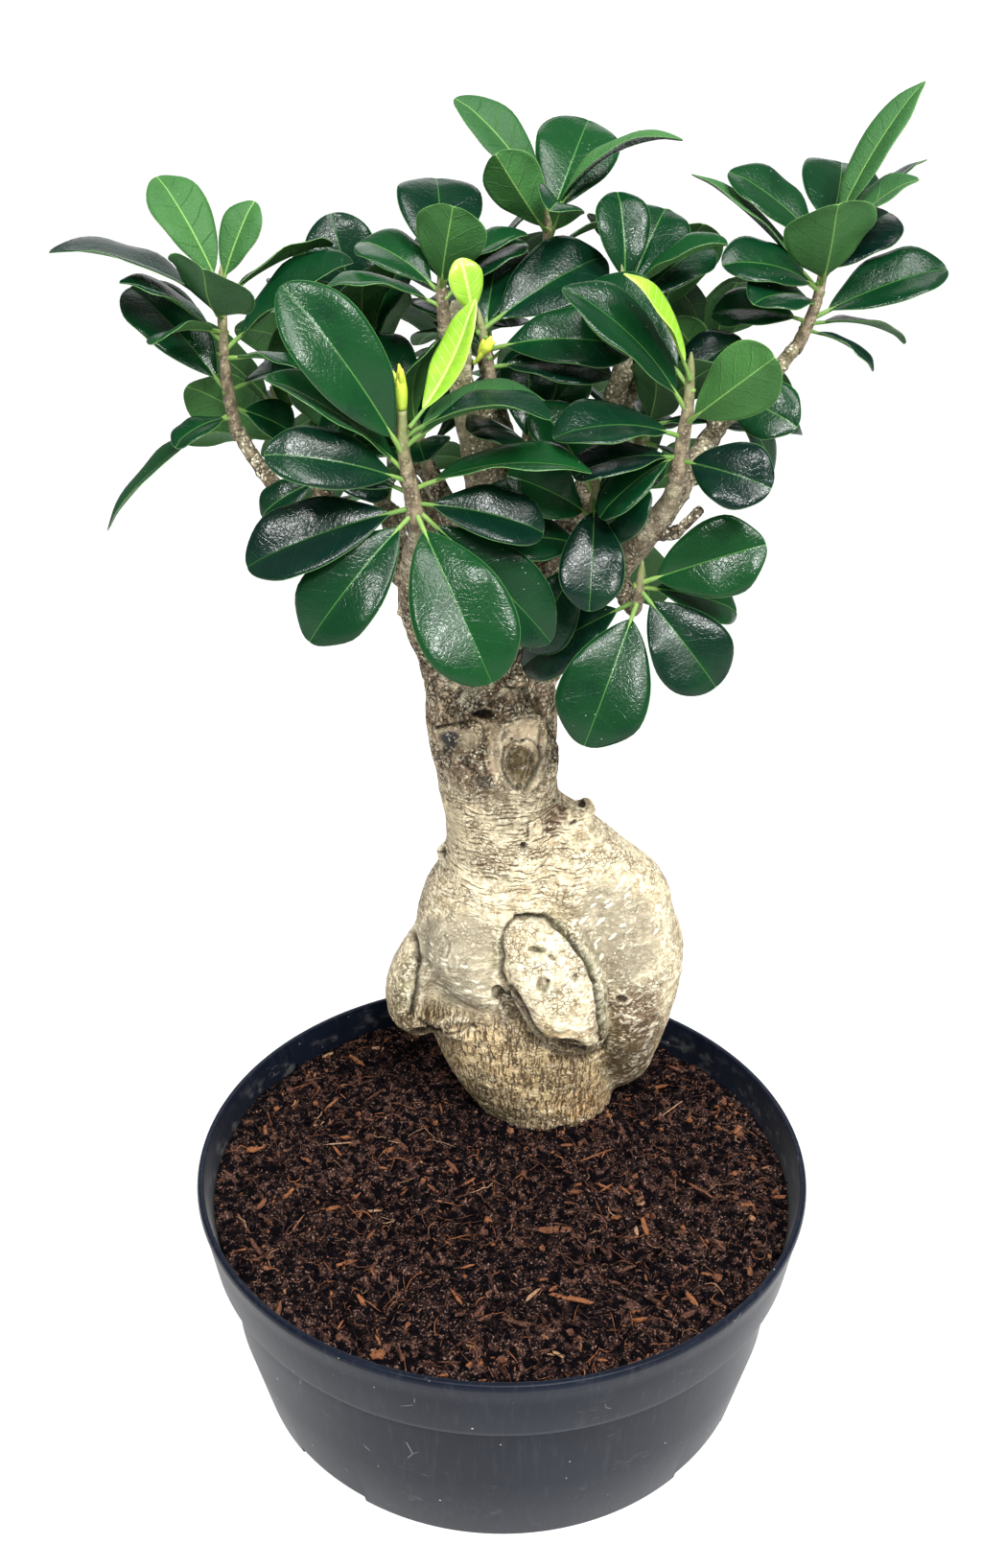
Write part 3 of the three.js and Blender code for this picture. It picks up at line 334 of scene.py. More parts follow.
def addLights():
    world = bpy.data.worlds.new("studio")
    bpy.context.scene.world = world
    world.use_nodes = True
    tree = world.node_tree
    seen, both = tree.nodes.new("ShaderNodeLightPath"), tree.nodes.new("ShaderNodeMixShader")
    sky, behind = tree.nodes["Background"], tree.nodes.new("ShaderNodeBackground")
    sky.inputs["Strength"].default_value = light["sky"]
    sky.inputs["Color"].default_value = light["skyTone"]
    behind.inputs["Strength"].default_value = light["backdrop"]
    behind.inputs["Color"].default_value = (1, 1, 1, 1)
    tree.links.new(seen.outputs["Is Camera Ray"], both.inputs["Fac"])
    tree.links.new(sky.outputs["Background"], both.inputs[1])
    tree.links.new(behind.outputs["Background"], both.inputs[2])
    tree.links.new(both.outputs["Shader"], tree.nodes["World Output"].inputs["Surface"])

    turn = [math.radians(each) for each in light["sunTurn"]]
    bpy.ops.object.light_add(type="SUN", rotation=turn)
    sun = bpy.context.object.data
    sun.energy = light["sun"]
    sun.angle = math.radians(light["sunSpread"])
    sun.color = light["sunTone"]
    for place, power, size in light["boxes"]:
        aim = Vector(light["aim"]) - Vector(place)
        turn = aim.to_track_quat("-Z", "Y").to_euler()
        bpy.ops.object.light_add(type="AREA", location=place, rotation=turn)
        box = bpy.context.object.data
        box.energy = power
        box.size = size
    bpy.context.scene.view_settings.view_transform = "Standard"
    print("studio lit")


pot = {  # millimetres and degrees
    "radius": 135,
    "height": 107,
    "wall": 2.8,
    "band": 31,  # the wide collar under the lip
    "spread": 11.5,  # how much wider the body is under the band than at the foot
    "belly": (8.6, 38),  # and how much wider at what height
    "bandStep": 5.7,
    "foot": 113,
    "floor": 8,
    "footHeight": 5,
    "pad": 20,
    "cornerSteps": 4,
    "sides": 176,
    "notches": 4,
    "notchTurn": 50,
    "notchSize": (16, 38, 8),
    "drains": 6,
    "drainTurn": 30,
    "drainRadius": 5.5,
    "drainAway": 0.6,  # from the middle, as a share of the foot
    "tones": {
        "dark": (0.002, 0.0042, 0.012), "light": (0.0045, 0.0078, 0.0175), "streak": (0.03, 0.036, 0.05),
        "ledge": (0.085, 0.1, 0.13), "shade": (0.005, 0.007, 0.012), "inside": (0.0035, 0.005, 0.01),
        "scuff": (0.2, 0.205, 0.22), "scratch": (0.3, 0.31, 0.33), "speck": (0.62, 0.61, 0.6),
        "lime": (0.24, 0.23, 0.22),
    },
}


def potWall():
    # from under the foot over the lip to the inner floor: radius, height, rounding
    foot, band, high = pot["foot"], pot["height"] - pot["band"], pot["height"]
    top = pot["radius"]
    collar = foot + pot["spread"]
    ledge = collar + pot["bandStep"]
    belly, bellyHeight = foot + pot["belly"][0], pot["belly"][1]
    return [
        (pot["pad"], 0, 0.6), (pot["pad"], pot["footHeight"], 1.2), (foot - 3.6, pot["footHeight"], 0.8),
        (foot - 3, 0, 0.5), (foot, 0, 0.9), (belly, bellyHeight, 0), (collar, band, 0.3),
        (ledge, band + 0.7, 0.5), (top - 1.6, high - 9, 3), (top, high - 2, 0.9),
        (top - 0.7, high, 0.8), (top - 3, high, 0.8), (top - 1.6 - pot["wall"], high - 9, 3),
        (ledge - pot["wall"] + 0.1, band + 5, 1), (collar - pot["wall"] + 0.2, band + 3, 0.6),
        (belly - pot["wall"], bellyHeight, 0), (foot - 2, pot["floor"], 4), (40, pot["floor"], 0),
        (6, pot["floor"], 0),
    ]


def rounded(profile):
    # the same outline with each corner turned in a short curve
    out = []
    steps = pot["cornerSteps"]
    for i, (r, z, rounding) in enumerate(profile):
        here = Vector((r, z))
        if rounding == 0 or i in (0, len(profile) - 1):
            out.append(here)
            continue
        back = Vector(profile[i - 1][:2]) - here
        on = Vector(profile[i + 1][:2]) - here
        back *= min(rounding / back.length, 0.45)
        on *= min(rounding / on.length, 0.45)
        for step in range(steps + 1):
            t = step / steps
            out.append(here + back * (1 - t) ** 2 + on * t**2)
    return out


def turned(name, outline, sides):
    # a turned shape: one ring, pulled up and resized along the outline, then both ends closed
    bpy.ops.object.select_all(action="DESELECT")
    start = outline[0]
    bpy.ops.mesh.primitive_circle_add(vertices=sides, radius=start.x * mm, fill_type="NGON")
    piece = bpy.context.object
    piece.name = name
    bpy.ops.object.mode_set(mode="EDIT")
    bpy.ops.mesh.select_mode(type="EDGE")
    bpy.ops.mesh.select_all(action="SELECT")
    bpy.ops.transform.translate(value=(0, 0, start.y * mm))
    bpy.ops.mesh.flip_normals()
    bpy.ops.mesh.region_to_loop()
    for before, after in zip(outline, outline[1:]):
        rise = (0, 0, (after.y - before.y) * mm)
        bpy.ops.mesh.extrude_edges_move(TRANSFORM_OT_translate={"value": rise})
        grow = after.x / before.x
        bpy.ops.transform.resize(value=(grow, grow, 1), center_override=(0, 0, after.y * mm))
    bpy.ops.mesh.edge_face_add()
    bpy.ops.mesh.select_all(action="SELECT")
    bpy.ops.mesh.normals_make_consistent(inside=False)
    bpy.ops.object.mode_set(mode="OBJECT")
    return piece


def carve(piece, tools):
    # takes the tools' shapes out of the piece and removes the tools
    for tool in tools:
        onlySelect(piece)
        cut = piece.modifiers.new("cut", "BOOLEAN")
        cut.object = tool
        cut.operation = "DIFFERENCE"
        cut.solver = "EXACT"
        bpy.ops.object.modifier_apply(modifier=cut.name)
        bpy.data.objects.remove(tool)


def potFinish():
    plastic = Finish("satinPlastic", Specular_IOR_Level=0.16, Sheen_Weight=0.13, Sheen_Roughness=0.35)
    x, y, z = plastic.parts(plastic.place)
    tones, band = pot["tones"], pot["height"] - pot["band"]
    fine = plastic.grainOf(0.7, 3)
    broad = plastic.grainOf(42, 3)
    streaks = plastic.noise(plastic.stretched(2.0, 2.0, 24), 3)
    # pale scuffs where pots rub, short scratches and specks of dust
    rubbed = plastic.noise(plastic.stretched(17, 17, 12), 3).between(0.6, 0.7)
    scuffs = rubbed * plastic.noise(plastic.stretched(6, 6, 0.5), 4).between(0.55, 0.68)
    scratches = plastic.cells(plastic.stretched(34, 34, 19), "DISTANCE_TO_EDGE").between(0.008, 0.002)
    scratches = scratches * plastic.grainOf(12, 3).between(0.64, 0.7)
    specks = plastic.cells(plastic.stretched(6, 6, 6)).between(0.085, 0.05)
    specks = specks * plastic.grainOf(22).between(0.52, 0.6)
    within = ((x * x + y * y) / (pot["radius"] * mm) ** 2).between(0.955, 0.92)
    inner = within * z.between(0.086, 0.1)
    dust = inner * plastic.noise(plastic.stretched(9, 9, 5), 4).between(0.5, 0.72)
    edge = (z - (pot["height"] - 1.2) * mm).size().between(0.0016, 0.0004)
    # a painted highlight along the collar's lower edge, and painted shade just below it
    ledgeGlint = (z - (band + 1.5) * mm).size().between(0.0012, 0.0004) * (1 - within)
    under = z.between((band - 7) * mm, (band - 0.5) * mm) * z.between((band + 0.6) * mm, band * mm)
    body = plastic.layered(
        tones["dark"],
        (broad.between(0.35, 0.7), tones["light"]),
        (streaks.between(0.5, 0.75) * 0.3, tones["streak"]),
        (ledgeGlint * 0.6, tones["ledge"]),
        (under * (1 - within) * 0.5, tones["shade"]),
        (inner * 0.8, tones["inside"]),
        (scuffs * 0.4, tones["scuff"]),
        (scratches * 0.6, tones["scratch"]),
        (specks * 0.85, tones["speck"]),
        (dust * 0.45, tones["lime"]),
    )
    rough = 0.42 + fine * 0.1 + scuffs * 0.2 + dust * 0.3 - edge * 0.12
    height = fine * 0.25 + plastic.grainOf(11, 2) * 0.7 + scuffs * 0.4
    return plastic.set(Base_Color=body, Roughness=rough, Normal=plastic.bump(height, 0.12, 0.5))


def makePot():
    bowl = turned("bowl", rounded(potWall()), pot["sides"])
    tools = []
    for i in range(pot["notches"]):
        turn = math.radians(pot["notchTurn"] + i * 360 / pot["notches"])
        way = Vector((math.cos(turn), math.sin(turn), 0))
        bpy.ops.mesh.primitive_cube_add(size=1, location=way * pot["foot"] * mm, rotation=(0, 0, turn),
                                        scale=[each * mm for each in pot["notchSize"]])
        tools.append(bpy.context.object)
    for i in range(pot["drains"]):
        turn = math.radians(pot["drainTurn"] + i * 360 / pot["drains"])
        way = Vector((math.cos(turn), math.sin(turn), 0))
        bpy.ops.mesh.primitive_cylinder_add(vertices=24, radius=pot["drainRadius"] * mm, depth=0.03,
                                            location=way * pot["drainAway"] * pot["foot"] * mm)
        tools.append(bpy.context.object)
    carve(bowl, tools)
    onlySelect(bowl)
    bpy.ops.object.shade_smooth_by_angle(angle=math.radians(38))
    hand(bowl, "bowl", ["pot"], [potFinish()])
    print("bowl turned and cut:", len(bowl.data.polygons), "faces")


soil = {  # millimetres
    "level": 92,
    "mound": 7,
    "moundPlace": (22, 32),
    "moundSpread": 62,
    "slope": (0.018, 0.016),
    "sides": 300,
    "rings": 104,
    "rim": 127.9,  # where it meets the wall
    "wallGap": 0.55,
    "floorGap": 0.35,
    "calm": (128, 6),  # flatter from this far out, over this width
    "clods": (21, 1.7),  # size and rise, as in the next two
    "lumps": (7.5, 2.8),
    "grains": (3.4, 2.3),
    "sunk": 2.6,
    "reach": 126.5,  # how far from the middle loose bits lie
    "crumbs": {"count": 3400, "size": (0.5, 2.2), "wide": (0.5, 1.2), "high": (0.4, 1.1), "dull": 2.6},
    "flakes": {"count": 2200, "size": (1.2, 5.4), "wide": (0.12, 0.3), "high": (0.1, 0.26), "dull": 1.7},
    "fibres": {"count": 2000, "reach": 122, "steps": 7},
    "chips": [  # bark and straw that stand out: the ends in the photo's pixels, width in millimetres, tint
        (257, 1203, 280, 1196, 3.6, 0.9), (337, 1196, 375, 1193, 0.7, 0.97),
        (572, 1352, 622, 1362, 2.6, 0.86), (520, 1378, 587, 1392, 2.4, 0.6),
        (557, 1285, 598, 1284, 4.2, 0.8), (388, 1413, 402, 1416, 5, 0.84), (637, 1271, 647, 1273, 3.4, 0.9),
        (664, 1257, 672, 1258, 3.4, 0.96), (690, 1166, 712, 1150, 0.6, 0.97),
        (640, 1330, 664, 1322, 1.6, 0.75), (302, 1290, 318, 1268, 0.6, 0.95),
        (480, 1240, 500, 1228, 1.2, 0.9), (246, 1265, 262, 1290, 1.2, 0.8),
        (716, 1235, 745, 1252, 1.4, 0.8), (600, 1215, 640, 1200, 0.7, 0.93),
    ],
    "seed": 11,
    "values": {"deep": 1, "tint": 1},  # what a point carries for its finish
    "tones": {
        "dark": (0.0026, 0.0021, 0.0034), "brown": (0.022, 0.012, 0.0105), "light": (0.08, 0.04, 0.031),
        "sand": (0.28, 0.165, 0.125), "gap": (0.002, 0.0015, 0.002), "bark": (0.135, 0.062, 0.042),
        "rust": (0.27, 0.105, 0.046), "straw": (0.58, 0.4, 0.25), "coal": (0.0034, 0.0026, 0.0038),
        "pore": (0.006, 0.004, 0.004), "deep": (0.0018, 0.0013, 0.002),
    },
}


def soilTop(points):
    x, y = points[:, 0], points[:, 1]
    middle, slope = soil["moundPlace"], soil["slope"]
    away = ((x - middle[0]) ** 2 + (y - middle[1]) ** 2) / (2 * soil["moundSpread"] ** 2)
    waves = 0.7 * np.sin(x * 0.11 + 1) * np.cos(y * 0.13) + 0.5 * np.sin(x * 0.23 - y * 0.19)
    return soil["level"] + soil["mound"] * np.exp(-away) - slope[0] * x - slope[1] * y + waves


def soilRelief(points):
    # clods and crumbs on top of the mound, calmer at the wall
    flat = np.column_stack([points[:, 0], points[:, 1], np.zeros(len(points))])
    away = np.hypot(flat[:, 0], flat[:, 1])
    calm = np.clip((soil["calm"][0] - away) / soil["calm"][1], 0.25, 1)
    clods = rough(flat, soil["clods"][0], 2, 3) * soil["clods"][1]
    lumps = soil["lumps"][1] * (1 - np.abs(grain(flat, soil["lumps"][0], 5))) ** 2
    grains = soil["grains"][1] * (1 - np.abs(grain(flat, soil["grains"][0], 9))) ** 2
    return calm * (clods + lumps + grains - soil["sunk"])


def peatFinish():
    peat = Finish("peatCrumb", Specular_IOR_Level=0.02)
    shade, tint = peat.attribute("deep"), peat.attribute("tint")
    tones = soil["tones"]
    fine = peat.grainOf(0.9, 4)
    mid = peat.grainOf(3.9, 5)
    broad = peat.grainOf(13, 4)
    colour = peat.layered(
        tones["dark"],
        (mid.between(0.46, 0.6), tones["brown"]),
        (broad.between(0.48, 0.6) * mid.between(0.5, 0.62) * 0.8, tones["light"]),
        (fine.between(0.56, 0.66) * mid.between(0.42, 0.52) * 0.8, tones["sand"]),
        (mid.between(0.45, 0.36) * 0.6, tones["gap"]),
        (tint.between(0.45, 0.7) * 0.75, tones["bark"]),
        (tint.between(0.74, 0.88) * 0.85, tones["rust"]),
        (tint.between(0.94, 0.99) * 0.9, tones["straw"]),
        (tint.between(0.34, 0.12) * 0.85, tones["coal"]),
        (fine.between(0.5, 0.38) * 0.55, tones["pore"]),
        (shade * 0.95, tones["deep"]),
    )
    height = fine * 0.6 + peat.grainOf(0.4, 2) * 0.4
    return peat.set(Base_Color=colour, Roughness=0.78 + fine * 0.15, Normal=peat.bump(height, 0.7, 0.9))


def lumpShape(seed):
    # a crumb, dented so that no two of the few shapes match
    bpy.ops.object.select_all(action="DESELECT")
    bpy.ops.mesh.primitive_ico_sphere_add(subdivisions=1, radius=1)
    lump = bpy.context.object
    places = np.zeros(len(lump.data.vertices) * 3)
    lump.data.vertices.foreach_get("co", places)
    places = places.reshape(-1, 3)
    places *= 1 + 0.32 * grain(places, 1.1, seed)[:, None]
    faces = [tuple(face.vertices) for face in lump.data.polygons]
    bpy.data.objects.remove(lump)
    return places, faces


def turnOf(angles):
    # rotation about x, y and z, one matrix for each row of angles
    whole = np.eye(3)
    for axis in (2, 1, 0):
        first, second = (axis + 1) % 3, (axis + 2) % 3
        cos, sin = np.cos(angles[:, axis]), np.sin(angles[:, axis])
        turn = np.zeros((len(angles), 3, 3))
        turn[:, axis, axis] = 1
        turn[:, first, first] = turn[:, second, second] = cos
        turn[:, second, first], turn[:, first, second] = sin, -sin
        whole = whole @ turn
    return whole


def sitOnSoil(points):
    # lays loose points on the soil's relief
    return soilTop(points) + soilRelief(points)


def spread(draw, count, reach):
    # places scattered evenly over the bed
    away = reach * np.sqrt(draw.random(count))
    round_ = draw.random(count) * 2 * math.pi
    at = np.column_stack([away * np.cos(round_), away * np.sin(round_), np.zeros(count)])
    at[:, 2] = sitOnSoil(at)
    return at


def loose(draw, name, finish):
    # bits of peat lying on the bed: a few shapes, turned, stretched and strewn
    bits = soil[name]
    count, (least, most) = bits["count"], bits["size"]
    shapes = [lumpShape(seed) for seed in range(6)]
    size = least + (most - least) * draw.random(count) ** 2.6
    at = spread(draw, count, soil["reach"])
    angles = draw.random((count, 3)) * 2 * math.pi
    if bits["wide"][1] < 1:
        angles[:, :2] = 0.5 * draw.normal(size=(count, 2))  # long bits lie down
    turns = turnOf(angles)
    low = np.array([0.7, bits["wide"][0], bits["high"][0]])
    high = np.array([1.3, bits["wide"][1], bits["high"][1]])
    stretch = low + (high - low) * draw.random((count, 3))
    at[:, 2] += size * 0.16
    heap = Heap(soil["values"])
    for i in range(count):
        shape, faces = shapes[i % len(shapes)]
        tint = 0.97 * draw.random() ** bits["dull"]
        heap.add((shape * stretch[i] * size[i]) @ turns[i].T + at[i], faces, tint=tint)
    hand(heap.piece(name, smoothed=False), name, ["soil"], [finish])


def onBed(across, down):
    # where a pixel of the photo meets the bed, in millimetres
    start, way = (np.array(each) for each in photoRay(across, down))
    start /= mm
    level = soil["level"]
    for _ in range(3):
        place = start + way * (level - start[2]) / way[2]
        level = sitOnSoil(place[None, :])[0]
    return place


def layChips(finish):
    heap = Heap(soil["values"])
    for i, (left, top, right, low, wide, tint) in enumerate(soil["chips"]):
        first, second = onBed(left, top), onBed(right, low)
        along = (second - first) / 2
        side = unit(np.cross((0, 0, 1), along)) * wide / 2
        shape, faces = lumpShape(i + 20)
        thin = np.array([0, 0, 0.3 * wide ** 0.7])
        shape = np.sign(shape) * np.abs(shape) ** 0.7
        place = (first + second) / 2 + (0, 0, 1.4)
        heap.add(place + shape[:, :1] * along + shape[:, 1:2] * side + shape[:, 2:] * thin, faces, tint=tint)
    hand(heap.piece("chips", smoothed=False), "chips", ["soil"], [finish])


def layFibres(draw, finish):
    # thin curled threads of coir and root, lying over the crumbs
    count, steps = soil["fibres"]["count"], soil["fibres"]["steps"]
    at = spread(draw, count, soil["fibres"]["reach"])
    heap = Heap(soil["values"])
    along = np.linspace(-1, 1, steps)
    for i in range(count):
        length = 3 + 13 * draw.random() ** 2.2
        turn = draw.random() * 2 * math.pi
        curl = draw.normal() * 0.9
        angles = turn + curl * along
        course = np.zeros((steps, 4))
        course[1:, 0] = np.cumsum(np.cos(angles[1:])) * length / (steps - 1)
        course[1:, 1] = np.cumsum(np.sin(angles[1:])) * length / (steps - 1)
        course[:, :2] += at[i, :2] - course[steps // 2, :2]
        away = np.hypot(course[:, 0], course[:, 1])
        course[:, :2] *= np.minimum(1, soil["reach"] / np.maximum(away, 1))[:, None]
        ground = sitOnSoil(course[:, :3])
        course[:, 2] = np.maximum(ground, ground.mean()) + 0.5 + draw.random() * 1.6 * (1 - along**2)
        course[:, 3] = (0.1 + 0.2 * draw.random() ** 2) * (1.15 - 0.6 * np.abs(along))
        heap.add(*tube(course, 4, 0.3), tint=0.3 + 0.68 * draw.random() ** 1.5)
    hand(heap.piece("fibres"), "fibres", ["soil"], [finish])


def makeSoil():
    foot, band, wall = pot["foot"], pot["height"] - pot["band"], pot["wall"] + soil["wallGap"]
    collar, floor = foot + pot["spread"], pot["floor"] + soil["floorGap"]
    (belly, bellyHeight), rings = pot["belly"], soil["rings"]
    low = [(6, floor), (foot - 2 - soil["wallGap"], floor), (foot + belly - wall, bellyHeight),
           (collar - wall + 0.2, band + 3), (collar + pot["bandStep"] - wall - 0.2, band + 5.3)]
    outline = [Vector(each) for each in low]
    outline += [Vector((soil["rim"] * (1 - i / rings) + 0.35, soil["level"])) for i in range(rings)]
    bed = turned("soilBed", outline, soil["sides"])
    points = pointsOf(bed.data)
    top = points[:, 2] > soil["level"] - 0.5
    points[top, 2] = sitOnSoil(points[top])
    bed.data.vertices.foreach_set("co", (points * mm).ravel())
    relief = np.where(top, soilRelief(points), -3)
    # deep is painted shade: darker where the relief sinks between the clods
    giveValues(bed.data, deep=np.clip(-0.35 - relief * 0.55, 0, 1), tint=np.full(len(points), 0.4))
    onlySelect(bed)
    bpy.ops.object.shade_smooth()
    finish = peatFinish()
    hand(bed, "soilBed", ["soil"], [finish])

    draw = np.random.default_rng(soil["seed"])
    loose(draw, "crumbs", finish)
    loose(draw, "flakes", finish)
    layChips(finish)
    layFibres(draw, finish)
    print("soil filled in, with", soil["crumbs"]["count"], "crumbs and", soil["fibres"]["count"], "fibres")


# The swollen roots, as level rings: height, middle in x and y, half width, half depth.
lobes = {
    "rootColumn": [
        [72, 22, 52, 25, 23], [90, 22, 52, 30, 26], [112, 16, 52, 38, 31], [130, 13, 53, 43, 36],
        [150, 11, 54, 46, 39], [180, 8, 55, 48, 39], [198, 5, 54, 44, 36], [214, 3, 53, 37, 32],
        [234, 3, 51, 27.5, 29], [268, -2, 49, 26, 26], [300, -5, 49, 28, 27], [320, -4, 48, 24, 22],
    ],
    "rightLobe": [
        [101, 50, 63, 14, 12], [110, 52, 61, 20, 19], [128, 55, 58, 21.5, 26],
        [152, 57.5, 55, 23.5, 32], [180, 58, 52, 25.5, 33], [200, 54, 51, 25, 29],
        [218, 50, 50, 23, 25], [238, 38, 48, 15, 18], [256, 22, 48, 9, 12],
    ],
    "frontLobe": [
        [148, 34, 23, 11, 11], [155, 32, 21, 15.5, 16], [168, 28, 14, 18.5, 18],
        [183, 24, 14, 21.5, 18], [196, 22, 16, 20.5, 16], [206, 21, 21, 15, 11],
    ],
    "leftFrontLobe": [
        [166, -2, 28, 8, 10], [176, -8, 27, 16, 15], [190, -13, 29, 20, 17], [202, -13, 32, 18, 15],
        [211, -12, 35, 12, 11],
    ],
    "leftKnob": [
        [142, -38, 46, 7.5, 10], [152, -41, 44, 11, 16], [170, -41, 43, 11.5, 18],
        [186, -36, 46, 9, 14], [196, -32, 48, 5, 8],
    ],
}

# The limbs, as courses: x, y, z, radius.
limbs = {
    "front": [[-16, 44, 300, 13], [-24, 38, 328, 11], [-33, 28, 352, 8.5], [-33, 10, 376, 6.4],
        [-30, -18, 391, 4.8], [-30.5, -28, 401, 3.6]],
    "left": [[-33, 20, 364, 6.5], [-60, 23, 384, 4.2], [-80, 26, 393, 3.6], [-93, 26, 409, 3],
        [-100, 27, 421, 2.6]],
    "left_low": [[-72, 25, 388, 2.4], [-70, 21, 399, 1.7]],
    "left_back": [[-60, 23, 384, 3.2], [-78, 49, 403, 2.5]],
    "left_mid": [[-34, 16, 368, 4], [-49, 42, 393, 2.7]],
    "stub": [[-4, 46, 310, 13], [-6, 32, 362, 9.5], [-8, 16, 404, 7], [-15, 0, 440, 4.7],
        [-15, -5, 471, 4.2]],
    "centre": [[-10, 12, 414, 3.6], [-5, 10, 440, 2.7]],
    "crown_left": [[-8, 16, 404, 4.6], [-15, 20, 440, 3.4], [-21, 15, 460, 2.7]],
    "mid_left": [[-8, 28, 370, 4], [-22, 32, 392, 3.2], [-28, 30, 404, 2.6]],
    "mid": [[-4, 26, 372, 4], [6, 22, 392, 3.2], [8, 18, 404, 2.6]],
    "mid_right": [[27, 38, 382, 4], [50, 38, 408, 2.6]],
    "top": [[4, 48, 310, 9], [8, 48, 380, 7], [14, 45, 430, 4.6], [17, 38, 476, 2.8]],
    "crown_right": [[8, 47, 350, 6], [30, 40, 390, 5], [42, 26, 438, 3.6], [44, 18, 459, 2.7]],
    "right_front": [[6, 46, 300, 12], [20, 40, 336, 10], [43, 20, 370, 7], [58, -5, 398, 4.8],
        [61, -13, 414, 3.2]],
    "right_top": [[57, -2, 395, 4.4], [66, 2, 409, 4], [80, 18, 426, 3.4], [98, 30, 439, 2.9],
        [109, 36, 450, 2.6]],
    "right_mid": [[79, 17, 425, 2.6], [78, 12, 434, 1.8]],
    "right_back": [[77, 15, 422, 3], [81, 45, 431, 2.4]],
    "low_right": [[42, 22, 368, 4.8], [48.5, -3, 361, 2.9]],
    "broken": [[53, 5, 388, 3], [62, -6, 391, 2.2], [70, -13, 401, 1.7]],
    "inner": [[14, 45, 320, 6], [26, 20, 357, 3.9], [29, 5, 374, 2.9]],
    "back_left": [[-6, 52, 310, 9], [-24, 68, 362, 6.5], [-54, 93, 414, 3]],
    "back": [[0, 54, 310, 8], [0, 80, 362, 6], [-4, 112, 414, 3]],
    "back_right": [[4, 52, 310, 9], [28, 68, 362, 6.5], [57, 93, 412, 3]],
    "low_back_left": [[-22, 66, 358, 4.4], [-43, 93, 371, 2.7]],
    "low_back_right": [[26, 66, 358, 4.4], [49, 95, 370, 2.7]],
    "top_back": [[8, 48, 378, 5], [0, 66, 416, 3.8], [-8, 78, 440, 2.8]],
    "top_right": [[29, 40, 386, 4.4], [44, 54, 418, 3.6], [57, 65, 443, 2.7]],
    "top_left": [[-6, 34, 356, 6], [-28, 48, 398, 4.2], [-48, 59, 428, 2.7]],
}

wood = {
    "uneven": {"rootColumn": 0.02, "rightLobe": 0.02, "frontLobe": 0.03, "leftFrontLobe": 0.03,
        "leftKnob": 0.03},
    "sides": 72,
    "twigSides": 18,
    "dome": 0.22,  # height of a lobe's rounded end, as a share of its width
    "voxel": 1.9,
    "thin": 6.6,  # limbs that start thinner than this are pieces of the twigs
    "finer": [(95, 326, 0.08), (253, 312, 0.35)],  # heights, and how far a face must look at the camera
    "swell": [  # egg-shaped bumps: place, half sizes, tilt
        ([-17, 29, 152], [11, 10, 5], -6), ([36, 43, 255], [5.5, 6, 6.5], 25),
        ([27, 42, 222], [19, 20, 30], 16), ([36, 42, 198], [18, 20, 28], 10),
        ([-27, 48, 231], [2.5, 3, 5], 0), ([-12, 26, 305], [8, 6, 7], 0), ([10, 28, 285], [14, 7, 21], 4),
    ],
    "welds": [  # where two forms flow into each other: place, radius, strength
        ([36, 42, 250], 30, 1), ([48, 40, 232], 20, 0.8), ([-12, 26, 212], 24, 1), ([-8, 20, 200], 14, 0.5),
        ([-20, 24, 150], 16, 0.7), ([-2, 44, 318], 26, 1), ([-30, 28, 352], 20, 1), ([8, 48, 352], 24, 1),
        ([44, 20, 372], 20, 1), ([-8, 20, 396], 18, 0.9), ([-28, 48, 195], 14, 0.6), ([10, 24, 300], 18, 0.5),
    ],
    "limbWeld": (318, 350, 0.5),  # from height, to height, strength
}


def smooth(values, low, high):
    # 0 below low, 1 above high, eased in between; low may be the higher one
    part = np.clip((values - low) / (high - low), 0, 1)
    return part * part * (3 - 2 * part)


def tube(stations, sides, bulge):
    # a closed round tube through [x, y, z, radius] rows, with ends that bulge by a share of the radius
    stations = np.asarray(stations, float)
    places, radii = stations[:, :3], stations[:, 3]
    ways = np.gradient(places, axis=0)
    ways /= lengths(ways)
    side = np.cross(ways[0], (0.31, 0.93, 0.12))
    angles = np.arange(sides) * 2 * math.pi / sides
    rows = [places[:1] - ways[:1] * radii[0] * bulge]
    for place, way, radius in zip(places, ways, radii):
        side = side - way * (side @ way)
        side /= np.linalg.norm(side)
        other = np.cross(way, side)
        rows.append(place + radius * (np.outer(np.cos(angles), side) + np.outer(np.sin(angles), other)))
    rows.append(places[-1:] + ways[-1:] * radii[-1] * bulge)
    return np.vstack(rows), tubeFaces(len(places), sides)


def tubeFaces(rows, sides):
    # faces over rings that have one point before the first and one after the last
    faces = []
    last = 1 + (rows - 1) * sides
    end = 1 + rows * sides
    for i in range(sides):
        on = (i + 1) % sides
        faces.append((0, 1 + on, 1 + i))
        faces.append((end, last + i, last + on))
    for row in range(rows - 1):
        low = 1 + row * sides
        high = low + sides
        for i in range(sides):
            on = (i + 1) % sides
            faces.append((low + i, low + on, high + on, high + i))
    return faces


